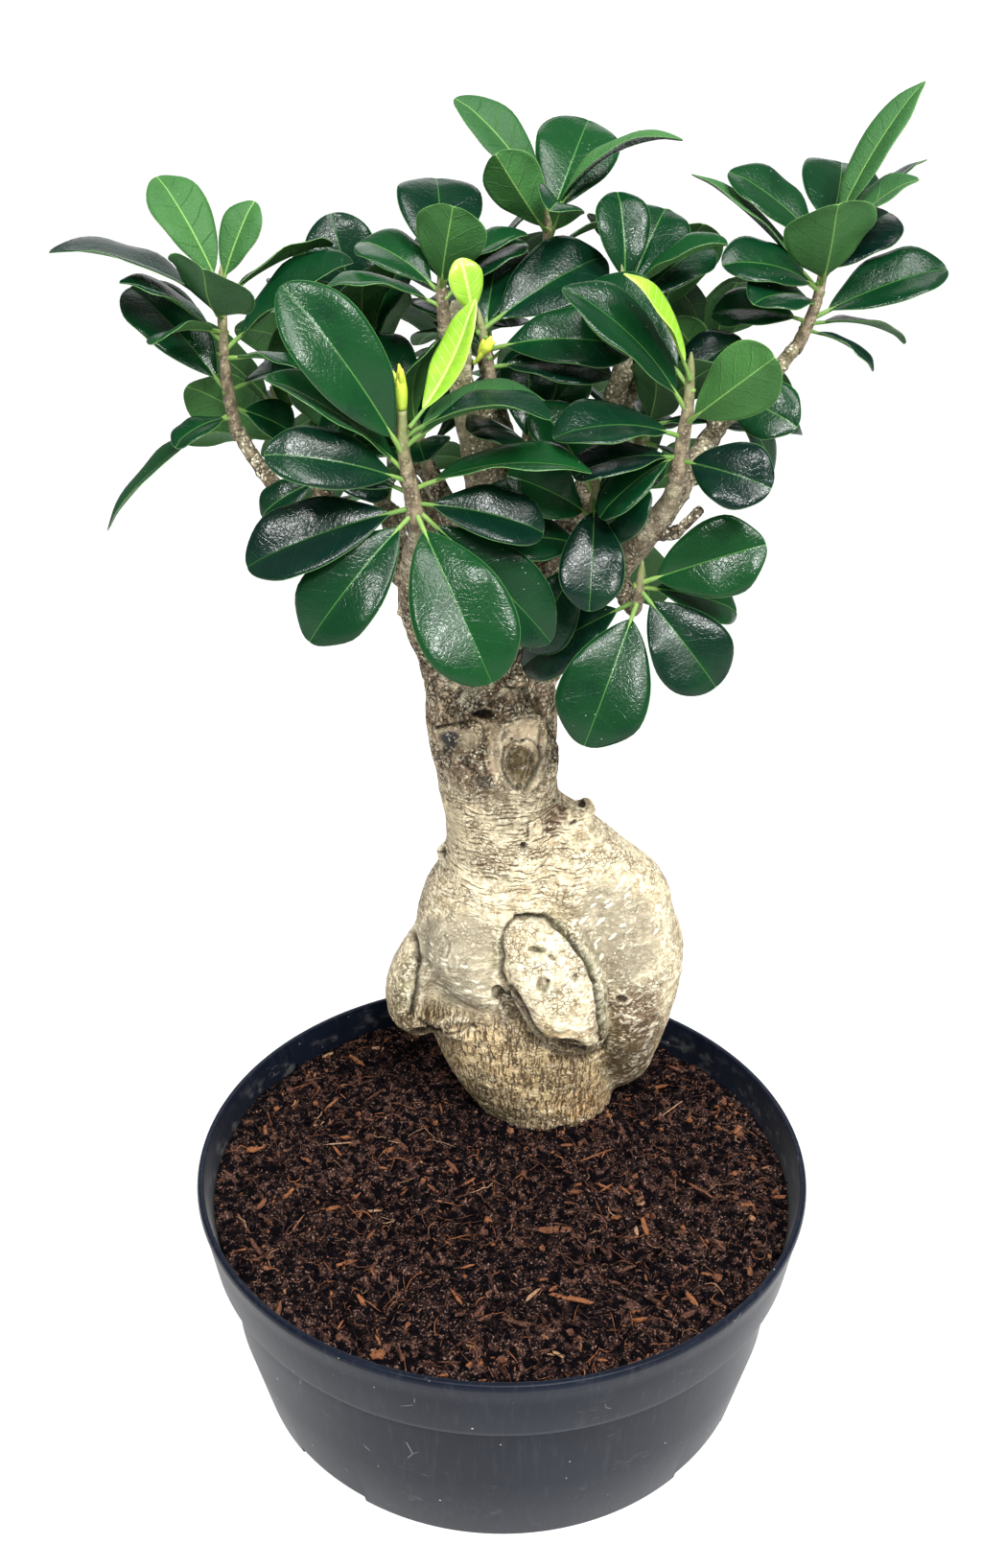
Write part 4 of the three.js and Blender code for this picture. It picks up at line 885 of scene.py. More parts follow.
def lobe(name, rings, uneven, seed):
    # a swollen root from level rings, with rounded ends
    rows = spline(rings, 5)
    bottom, top = rows[0], rows[-1]
    dome = wood["dome"]

    def domed(end, degrees):
        # a smaller ring beyond the end one; degrees below 0 go down
        turn = math.radians(degrees)
        return [end[0] + dome * end[3] * math.sin(turn), *end[1:3], *(end[3:] * math.cos(turn))]

    rows = np.vstack([[domed(bottom, each) for each in (-72, -48, -24)], rows,
                      [domed(top, each) for each in (24, 48, 72)]])
    angles = np.arange(wood["sides"]) * 2 * math.pi / wood["sides"]
    points = [[[bottom[1], bottom[2], bottom[0] - dome * bottom[3]]]]
    for z, x, y, wide, deep in rows:
        level = np.full(len(angles), z)
        ring = np.column_stack([x + wide * np.cos(angles), y + deep * np.sin(angles), level])
        swell = 1 + uneven * grain(ring, 22, seed)
        ring[:, 0] = x + (ring[:, 0] - x) * swell
        ring[:, 1] = y + (ring[:, 1] - y) * swell
        points.append(ring)
    points.append([[top[1], top[2], top[0] + dome * top[3]]])
    return meshOf(name, np.vstack(points), tubeFaces(len(rows), wood["sides"]))


def rawWood():
    # the lobes, bumps and limbs as loose shapes, then skinned over as one
    pieces = [lobe(name, rings, wood["uneven"][name], i + 1) for i, (name, rings) in enumerate(lobes.items())]
    for place, half, tilt in wood["swell"]:
        bpy.ops.mesh.primitive_uv_sphere_add(segments=32, ring_count=16, rotation=(0, math.radians(tilt), 0),
                                             location=[each * mm for each in place],
                                             scale=[each * mm for each in half])
        pieces.append(bpy.context.object)
    for name, stations in limbs.items():
        if stations[0][3] > wood["thin"]:
            run = spline(stations, 6)
            run[:, 3] *= 1 + 0.07 * grain(run[:, :3], 9, 7)
            pieces.append(meshOf(name, *tube(run, 20, 0.5)))
    onlySelect(*pieces)
    bpy.ops.object.join()
    trunk = bpy.context.object
    skin = trunk.modifiers.new("skin", "REMESH")
    skin.mode = "VOXEL"
    skin.voxel_size = wood["voxel"] * mm
    bpy.ops.object.modifier_apply(modifier=skin.name)
    return trunk


def meltJoints(trunk):
    # forms that grew together flow into each other; the creases between lobes stay
    points = pointsOf(trunk.data)
    low, high, strength = wood["limbWeld"]
    melt = smooth(points[:, 2], low, high) * strength
    for place, radius, strength in wood["welds"]:
        away = np.linalg.norm(points - np.array(place), axis=1)
        melt = np.maximum(melt, strength * smooth(away, radius, radius * 0.35))
    strong = trunk.vertex_groups.new(name="melt")
    for level in range(1, 11):
        chosen = np.nonzero(np.abs(melt * 10 - level) < 0.5)[0]
        strong.add(chosen.tolist(), level / 10, "REPLACE")
    onlySelect(trunk)
    easeOff(trunk, 3)
    easeOff(trunk, 14, "melt")
    trunk.vertex_groups.clear()


def easeOff(trunk, rounds, group=""):
    ease = trunk.modifiers.new("ease", "SMOOTH")
    ease.factor = 0.5
    ease.iterations = rounds
    ease.vertex_group = group
    bpy.ops.object.modifier_apply(modifier=ease.name)


def refineFront(trunk, low, high, least):
    # smaller faces where the photo shows the wood between these heights
    mesh = trunk.data
    middles, ways = np.zeros((2, len(mesh.polygons) * 3), np.float32)
    mesh.polygons.foreach_get("center", middles)
    mesh.polygons.foreach_get("normal", ways)
    middles = middles.reshape(-1, 3) / mm
    toEye = np.array(photo["place"]) / mm - middles
    facing = np.sum(ways.reshape(-1, 3) * toEye, axis=1) / np.linalg.norm(toEye, axis=1)
    chosen = (facing > least) & (middles[:, 2] > low) & (middles[:, 2] < high)
    onlySelect(trunk)
    bpy.ops.object.mode_set(mode="EDIT")
    bpy.ops.mesh.select_mode(type="FACE")
    bpy.ops.mesh.select_all(action="DESELECT")
    bpy.ops.object.mode_set(mode="OBJECT")
    mesh.polygons.foreach_set("select", chosen)
    bpy.ops.object.mode_set(mode="EDIT")
    bpy.ops.mesh.subdivide(number_cuts=1)
    bpy.ops.object.mode_set(mode="OBJECT")
    easeOff(trunk, 2)


# Marks on the front of the wood, at pixels of the photo. A course runs x, y, x, y and so on.
marks = {
    "hollows": [  # x, y, half width, half height, turn, depth in millimetres, darkness
        # the darkness is painted shade in each hollow; the first row paints the shadow under the grey knot
        (503, 744, 13, 5.5, 8, 3, 0.9), (473, 746, 2.2, 2.2, 0, 0.9, 0.8), (543, 799, 17, 22, -8, 3, 0.3),
        (541, 821, 4, 4, 0, 1.2, 0.8), (534, 770, 2, 2, 0, 0.8, 0.9), (545, 773, 2.6, 1.6, 10, 0.9, 0.95),
        (546, 724, 7, 12, 20, 1.3, 0.55), (525, 768, 2.6, 7, 20, 1, 0.6), (547, 883, 4, 4, 20, 2.4, 0.95),
        (582, 765, 4, 12, 0, 1.8, 0.9), (606, 838, 5, 6, 0, 1.4, 0.9), (598, 857, 5, 2.5, -30, 1.2, 0.9),
        (578, 835, 3, 2.4, 0, 0.6, 0.7), (462, 889, 3, 7, 0, 2, 0.85), (527, 916, 5, 4, 0, 1.2, 0.55),
        (560, 990, 11, 4, 8, 2.2, 0.6), (576, 998, 5, 3, 20, 1.6, 0.5), (566, 1026, 8, 9, 30, 2.4, 0.5),
        (571, 1023, 3, 3, 0, 1.2, 0.9), (600, 1020, 4, 6, 0, 1.4, 0.6), (534, 1056, 8, 26, -26, 2.2, 0.25),
        (519, 1036, 7, 8, 0, 1.6, 0.6), (552, 1084, 8, 8, 40, 1.8, 0.7), (648, 1042, 7, 4, 0, 1.6, 0.8),
        (443, 1075, 20, 4, -4, 1.4, 0.8), (545, 1066, 3, 15, -18, 1.4, 0.7),
        (590, 1088, 26, 4, 4, 1.6, 0.8),
    ],
    "bumps": [  # x, y, half width, half height, turn, height, paleness
        (489, 729, 11, 10, -20, 1.5, 0.75), (417, 638, 4, 5, 0, 1.6, 0.1), (435, 674, 5, 3, 0, 1, 0.1),
        (473, 746, 4, 4, 0, 0.9, 0.1), (446, 720, 5, 6, 0, 1.2, 0.1), (505, 760, 5, 4, 40, 1, 0.6),
        (607, 838, 9, 10, 0, 0.8, -0.5), (586, 757, 4, 6, 0, 1.2, 0), (505, 798, 5, 12, 4, 1, 0.1),
        (474, 1064, 20, 7, -10, 2, 0.7), (458, 1066, 8, 5, 0, 1.2, 0.7), (583, 1072, 8, 6, 0, 1.6, 0.3),
        (615, 1084, 9, 8, 0, 1.8, 0.3), (566, 1006, 18, 4, 8, 1, 0.5), (540, 1010, 10, 12, 0, 0.6, 0.3),
        (648, 1042, 11, 8, 0, 1, 0), (600, 1006, 10, 6, 0, 0.8, 0.4), (528, 916, 8, 7, 0, 0.8, 0),
    ],
    "cracks": [  # width in pixels, depth, darkness, course
        # the darkness is painted shade, deepest in the wide creases between the lobes and under the fold
        # ridge
        (1.6, 0.9, 0.8, (455, 757, 465, 756, 477, 753, 493, 752, 502, 755)),
        (1.5, 1, 0.75, (503, 757, 506, 773, 504, 788, 507, 808)),
        (1.4, 0.7, 0.8, (453, 707, 452, 718, 455, 732)), (1.4, 0.8, 0.7, (562, 749, 563, 765, 561, 778)),
        (1.6, 0.8, 0.6, (573, 752, 572, 775, 566, 800)),
        (1.4, 0.8, 0.7, (530, 716, 545, 718, 552, 726, 549, 737)),
        (1.2, 0.6, 0.9, (550, 860, 551, 866, 552, 874)), (1.1, 0.5, 0.6, (574, 893, 563, 905, 556, 915)),
        (3, 3.6, 0.9, (540, 957, 550, 955, 560, 957, 570, 959, 581, 965, 592, 974, 601, 985, 610, 998, 617,
            1010, 622, 1022, 626, 1045, 628, 1070, 628, 1094)),
        (2.2, 2.2, 0.85, (540, 957, 531, 964, 526, 974, 523, 986, 524, 1000, 522, 1012, 526, 1024)),
        (3.4, 2.6, 0.9, (530, 1030, 541, 1044, 548, 1058, 556, 1072, 566, 1086)),
        (3.6, 2.6, 0.9, (566, 1087, 580, 1092, 596, 1095, 612, 1097, 626, 1093)),
        (3.6, 2.8, 0.9, (429, 973, 432, 985, 436, 1000, 437, 1020, 436, 1035, 431, 1050, 428, 1060)),
        (1.8, 1.2, 0.8, (437, 1063, 450, 1072, 466, 1078, 482, 1075, 492, 1069)),
        (1.3, 0.6, 0.5, (464, 975, 468, 985, 465, 1000, 468, 1014)),
        (1.2, 0.5, 0.5, (542, 1048, 545, 1070, 546, 1085)),
        (1.2, 0.5, 0.45, (602, 1092, 603, 1110, 606, 1130)),
        (1.7, 1.2, 0.85, (526, 780, 524, 792, 525, 804, 531, 814, 540, 824)),
        (2, 1.2, 0.85, (562, 778, 563, 790, 560, 800, 554, 812, 546, 823)),
        (1.2, 0.6, 0.7, (529, 780, 533, 775, 538, 773, 543, 775, 549, 771, 556, 773, 562, 779)),
        (0.9, 0.5, 0.8, (532, 786, 531, 800, 536, 814)), (0.9, 0.5, 0.8, (555, 784, 553, 800, 548, 813)),
        (0.9, 0.6, 0.8, (527, 752, 536, 749, 545, 748, 556, 748)),
        (0.9, 0.6, 0.8, (569, 750, 570, 768, 567, 784, 560, 800, 551, 814)),
        (1.1, 0.8, 0.9, (527, 716, 540, 717, 551, 720, 554, 728, 549, 735)),
        (1, 0.6, 0.8, (486, 719, 478, 725, 470, 731)), (0.9, 0.5, 0.7, (531, 703, 552, 706, 576, 716)),
        (0.8, 0.4, 0.6, (540, 785, 537, 800, 540, 815)), (0.8, 0.4, 0.6, (549, 786, 547, 802, 544, 815)),
    ],
    "stains": [  # width in pixels, strength, tone, course
        (5, 0.95, "moss", (546, 954, 571, 955, 592, 969, 606, 984, 617, 1004, 626, 1028, 631, 1055, 632,
            1088)), (5, 0.8, "moss", (524, 968, 519, 985, 517, 1005)),
        (7, 0.9, "olive", (432, 1000, 430, 1020, 424, 1040, 424, 1056)),
        (5, 0.8, "moss", (455, 1052, 440, 1060, 446, 1072)),
        (6, 0.7, "umber", (462, 1084, 480, 1080, 500, 1070)),
        (3.5, 0.9, "moss", (556, 988, 562, 993, 572, 994)),
        (5, 0.75, "olive", (560, 1030, 568, 1034, 576, 1032)),
    ],
    "calm": [  # smoother bark with pale dashes: x, y, half width, half height, turn, greyness
        (484, 1000, 40, 52, 0, 0.8), (644, 972, 44, 60, -14, 0.8), (450, 985, 20, 30, 0, 0.8),
        (545, 784, 27, 40, -4, 0), (478, 772, 24, 14, 0, 0), (468, 860, 18, 20, 0, 0),
        (516, 780, 7, 28, 0, 0),
    ],
    "ridges": [  # width, height, paleness, course
        (1.6, 0.8, 0.7, (522, 765, 524, 757, 531, 750, 541, 746, 553, 746, 562, 748)),
        (1.5, 0.8, 0.5, (566, 749, 567, 765, 567, 782, 562, 798, 554, 812, 547, 822)),
        (1.4, 0.7, 0.6, (570, 750, 572, 768, 571, 786, 566, 802, 558, 816)),
        (1.3, 0.9, 0.8, (500, 756, 503, 760, 500, 766)), (1.4, 0.9, 0.8, (506, 762, 506, 776)),
        (1.2, 0.5, 0.5, (478, 787, 500, 788)), (1.2, 0.5, 0.5, (476, 772, 492, 764, 500, 772, 496, 783)),
        (1.2, 0.6, 0.6, (536, 828, 527, 818, 520, 808, 512, 806)),
        (3.2, 0.9, 0.85, (455, 761, 466, 760, 478, 756, 490, 757, 498, 763)),
        (3.4, 1.2, 0.45, (524, 790, 521, 775, 525, 762, 536, 752, 550, 749, 562, 752)),
        (3.6, 1.4, 0.55, (569, 762, 572, 780, 567, 800, 558, 816, 548, 824)),
        (3, 1.1, 0.45, (519, 785, 522, 800, 529, 812, 540, 825)),
        (2.6, 0.8, 0.5, (567, 772, 565, 790, 559, 806)), (2.4, 0.6, 0.3, (560, 752, 559, 768, 558, 778)),
        (1.5, 0.9, 1, (514, 1019, 520, 1026, 527, 1033)),
        (2.2, 0.5, 0.2, (531, 752, 540, 744, 556, 745, 570, 756)),
    ],
    "patches": [  # x, y, half width, half height, turn, strength, tone
        (470, 770, 13, 8, 8, 1, "slate"), (469, 781, 8, 6, 0, 0.8, "slate"),
        (505, 816, 12, 8, 0, 0.7, "slate"), (480, 800, 30, 26, 0, 0.6, "umber"),
        # the umber just under the grey knot paints its shadow
        (490, 729, 13, 12, 0, 0.9, "stone"), (505, 742, 18, 10, 0, 0.7, "umber"),
        (543, 798, 20, 25, -8, 1, "heart"), (546, 800, 10, 15, -8, 0.6, "bronze"),
        (545, 762, 18, 13, 0, 0.85, "tan"), (515, 780, 5, 28, 0, 0.8, "tan"),
        (577, 798, 5, 22, -4, 0.95, "cream"), (568, 770, 4, 22, 0, 0.7, "tan"),
        (545, 722, 40, 15, 0, 0.7, "umber"), (505, 762, 30, 14, 0, 0.35, "tan"),
        (583, 862, 5, 6, 0, 1, "chalk"), (578, 852, 15, 20, 20, 1, "umber"),
        (575, 868, 10, 7, 0, 0.8, "umber"), (608, 838, 10, 11, 0, 0.8, "umber"),
        (492, 996, 32, 34, 0, 0.75, "grey"), (632, 985, 40, 58, -12, 0.8, "grey"),
        (684, 950, 16, 60, -8, 0.5, "cream"), (570, 1005, 40, 50, 20, 0.3, "chalk"),
        (545, 915, 60, 30, 10, 0.5, "cream"), (455, 985, 18, 30, 0, 0.6, "grey"),
        (640, 905, 45, 25, 35, 0.6, "cream"), (585, 1062, 30, 26, 10, 0.6, "cream"),
        (658, 1076, 44, 54, -20, 1, "umber"), (644, 1096, 28, 36, -10, 0.95, "heart"),
        (420, 1035, 12, 26, 10, 0.65, "olive"), (430, 1050, 8, 20, 0, 0.7, "olive"),
        # the umber at 532, 1055 paints the shade in the dark cavity left of the front lobe
        (532, 1055, 15, 32, -18, 0.9, "umber"), (528, 1046, 9, 16, -14, 0.6, "heart"),
        (560, 1110, 66, 50, 0, 0.9, "honey"), (500, 1100, 40, 34, 30, 0.8, "honey"),
        (492, 1140, 30, 16, 34, 0.6, "olive"), (464, 1110, 12, 20, 30, 0.4, "olive"),
        (532, 1162, 24, 8, 6, 0.6, "olive"), (605, 1150, 34, 22, -20, 0.6, "amber"),
        (596, 1100, 26, 10, 0, 0.4, "umber"), (575, 1172, 50, 8, 5, 0.6, "umber"),
    ],
}

tones = {
    "cream": (0.79, 0.68, 0.46), "chalk": (0.82, 0.76, 0.57), "beige": (0.6, 0.5, 0.33),
    "grey": (0.36, 0.315, 0.225), "stone": (0.36, 0.34, 0.3), "umber": (0.22, 0.155, 0.1),
    "tan": (0.6, 0.47, 0.315), "bronze": (0.24, 0.18, 0.08), "honey": (0.8, 0.6, 0.32),
    "ochre": (0.52, 0.36, 0.17), "amber": (0.4, 0.21, 0.07), "olive": (0.13, 0.12, 0.045),
    "moss": (0.17, 0.165, 0.075), "slate": (0.07, 0.07, 0.075), "heart": (0.17, 0.12, 0.055),
    "limb": (0.19, 0.155, 0.12), "shoot": (0.16, 0.17, 0.07), "dirt": (0.02, 0.015, 0.011),
    "fleck": (0.94, 0.86, 0.64),
    "fold": (0.88, 0.79, 0.56), "rib": (0.92, 0.74, 0.44), "stripe": (0.085, 0.045, 0.02),
    "net": (0.15, 0.1, 0.06), "furrow": (0.03, 0.022, 0.017), "wrinkle": (0.1, 0.065, 0.04),
    "pore": (0.97, 0.91, 0.7), "shadow": (0.34, 0.27, 0.2),
}


def onPhoto(points):
    # where places in millimetres fall on the photo
    away = points * mm - np.array(photo["place"])
    ahead, above = (away @ np.array(way) for way in photoWays())
    across = photo["size"][0] / 2 + photo["focal"] * away[:, 0] / ahead
    down = photo["size"][1] / 2 - photo["focal"] * above / ahead
    return np.column_stack([across, down])


def ovalAway(spots, x, y, wide, high, turn):
    # how far spots are from an oval's middle, 1 on its edge
    turn = math.radians(turn)
    across, down = spots[:, 0] - x, spots[:, 1] - y
    along = across * math.cos(turn) + down * math.sin(turn)
    off = -across * math.sin(turn) + down * math.cos(turn)
    return np.hypot(along / wide, off / high)


def courseAway(spots, course):
    # how far spots are from a broken line
    best = np.full(len(spots), 1e9)
    places = np.reshape(course, (-1, 2)).astype(float)
    for first, second in zip(places, places[1:]):
        run = second - first
        part = np.clip((spots - first) @ run / (run @ run), 0, 1)
        best = np.minimum(best, np.linalg.norm(spots - first - part[:, None] * run, axis=1))
    return best


def seenFromPhoto(trunk, points, normals):
    # 1 where the photo shows the wood, fading where it turns away
    cast = BVHTree.FromObject(trunk, bpy.context.evaluated_depsgraph_get())
    eye = Vector(photo["place"])
    toEye = np.array(eye) / mm - points
    toEye /= lengths(toEye)
    facing = np.sum(normals * toEye, axis=1)
    seen = smooth(facing, -0.02, 0.3)
    for i in np.nonzero(seen > 0)[0]:
        goal = Vector(points[i] * mm)
        hit = cast.ray_cast(eye, (goal - eye).normalized())
        if hit[0] is not None and hit[3] < (goal - eye).length - 0.0022:  # a little depth is forgiven
            seen[i] = 0
    return seen


def mixed(tone, share, name):
    # lays a named tone over each point's own by its share
    share = np.clip(share, 0, 1)[:, None]
    return tone * (1 - share) + np.array(tones[name]) * share


def spreadOut(edges, values, rounds):
    # each point takes the mean of its neighbours, again and again
    count = len(values)
    shared = np.maximum(np.bincount(edges.ravel(), minlength=count), 1)
    values = values.copy()
    for _ in range(rounds):
        total = [np.bincount(edges[:, 0], values[edges[:, 1], i], count)
                 + np.bincount(edges[:, 1], values[edges[:, 0], i], count) for i in range(values.shape[1])]
        values = 0.5 * values + 0.5 * np.column_stack(total) / shared[:, None]
    return values


def hollowness(mesh, points, normals, rounds):
    # how far the wood lies below its own smoothed shape, in millimetres
    edges = np.zeros(len(mesh.edges) * 2, np.int32)
    mesh.edges.foreach_get("vertices", edges)
    away = spreadOut(edges.reshape(-1, 2), points, rounds) - points
    return spreadOut(edges.reshape(-1, 2), np.sum(away * normals, axis=1)[:, None], 1)[:, 0]


def barkTones(points):
    # the colours of the bark all round, by height and by patches
    height = points[:, 2] + 7 * rough(points, 26, 2, 21)
    patches = rough(points, 17, 3, 31)
    spots = rough(points, 7, 2, 41)
    upper = smooth(height, 262, 288)
    layers = [
        (0.9 * smooth(patches, -0.15, 0.5), "cream"),
        (0.55 * smooth(rough(points, 22, 2, 51), 0.15, 0.6), "grey"),
        (0.8 * smooth(height, 170, 140), "ochre"),
        (0.6 * smooth(height, 122, 102) * smooth(rough(points, 20, 2, 61), -0.1, 0.4), "olive"),
        (0.75 * smooth(height, 108, 96), "umber"),
        (0.85 * upper, "tan"),
        (0.7 * upper * smooth(patches, 0.05, -0.4), "umber"),
        (0.6 * upper * smooth(spots, 0.3, 0.7), "cream"),
        (0.8 * smooth(height, 312, 345), "limb"),
        (0.75 * smooth(height, 385, 440), "shoot"),
    ]
    tone = np.tile(np.array(tones["beige"]), (len(points), 1))
    for share, name in layers:
        tone = mixed(tone, share, name)
    return tone


def normalsOf(mesh):
    flat = np.zeros(len(mesh.vertices) * 3, np.float32)
    mesh.vertices.foreach_get("normal", flat)
    return flat.reshape(-1, 3).astype(float)


def shapeBark(trunk):
    # presses the marks into the wood and gives every point its tone
    points = pointsOf(trunk.data)
    normals = normalsOf(trunk.data)
    seen = seenFromPhoto(trunk, points, normals)
    spots = onPhoto(points) + 1.5 * np.column_stack([grain(points, 5, 71), grain(points, 5, 72)])
    height = points[:, 2]
    dirt = np.zeros(len(points))
    tone = barkTones(points)
    level = np.column_stack([points[:, 0], points[:, 1], points[:, 2] * 3.4])
    upright = np.column_stack([points[:, 0] * 2.6, points[:, 1] * 2.6, points[:, 2]])
    upper = smooth(height, 258, 288) * smooth(height, 420, 330)
    lower = smooth(height, 282, 262)
    # wrinkles across the swollen root, rough plates on the trunk
    rise = 0.34 * grain(level, 7, 81) * lower + 0.16 * grain(level, 3.4, 82) * lower
    rise += upper * (0.75 * rough(upright, 9, 2, 83) + 0.4 * (0.5 - np.abs(grain(points, 3.4, 84))))
    rise += 0.45 * rough(points, 15, 2, 85) * lower
    knobs = smooth(grain(points, 12, 86), 0.62, 0.9)
    rise += knobs * (0.7 + 0.8 * upper) * (1 - 0.8 * seen)
    pits = smooth(grain(points, 13, 87), 0.66, 0.9) * (1 - seen)
    rise -= 1.2 * pits
    dirt += 0.7 * pits
    dirt += upper * 0.35 * smooth(rough(upright, 6, 2, 88), 0.05, -0.5)
    for *oval, strength, name in marks["patches"]:
        share = strength * smooth(ovalAway(spots, *oval), 1.15, 0.6)
        tone = mixed(tone, share * seen, name)
    calm = 0.8 * smooth(rough(points, 34, 2, 96), 0.0, 0.5) * smooth(height, 235, 215) * (1 - seen)
    tone = mixed(tone, 0.8 * calm, "grey")
    for *oval, greyness in marks["calm"]:
        share = smooth(ovalAway(spots, *oval), 1.15, 0.75) * seen
        tone = mixed(tone, greyness * share, "grey")
        calm = np.maximum(calm, share)
    for wide, strength, name, course in marks["stains"]:
        share = strength * np.exp(-(courseAway(spots, course) / wide) ** 2)
        tone = mixed(tone, share * seen, name)
    for *oval, tall, pale in marks["bumps"]:
        share = smooth(ovalAway(spots, *oval), 1.15, 0.45) * seen
        rise += tall * share
        tone = mixed(tone, share * abs(pale), "chalk" if pale > 0 else "umber")
    for wide, tall, pale, course in marks["ridges"]:
        share = np.exp(-(courseAway(spots, course) / wide) ** 2) * seen
        rise += tall * share
        tone = mixed(tone, share * pale, "cream")
    for *oval, deep, dark in marks["hollows"]:
        share = smooth(ovalAway(spots, *oval), 1.1, 0.66) * seen
        rise -= deep * share
        dirt = np.maximum(dirt, dark * share)
    for wide, deep, dark, course in marks["cracks"]:
        share = np.exp(-(courseAway(spots, course) / wide) ** 2) * seen
        rise -= deep * share
        dirt = np.maximum(dirt, dark * share)
    points += normals * rise[:, None]
    trunk.data.vertices.foreach_set("co", (points * mm).ravel())
    trunk.data.update()
    normals = normalsOf(trunk.data)
    # painted shade darkens the creases and small hollows, and what stands proud is painted paler, a painted
    # highlight as well as wear
    creases = hollowness(trunk.data, points, normals, 20)
    pocks = hollowness(trunk.data, points, normals, 4)
    dirt = np.maximum(dirt, 0.85 * smooth(creases, 0.6, 2.0))
    dirt = np.maximum(dirt, 0.6 * smooth(pocks, 0.06, 0.26))
    tone = mixed(tone, 0.3 * smooth(creases, -0.6, -1.8), "chalk")
    tone = mixed(tone, 0.5 * lower * smooth(pocks, -0.03, -0.14), "chalk")
    tone = mixed(tone, 0.7 * upper * smooth(pocks, -0.03, -0.16), "cream")
    giveValues(trunk.data, tone=tone, dirt=np.clip(dirt, 0, 1), calm=calm, upper=upper, lower=lower,
               limb=smooth(height, 305, 345))


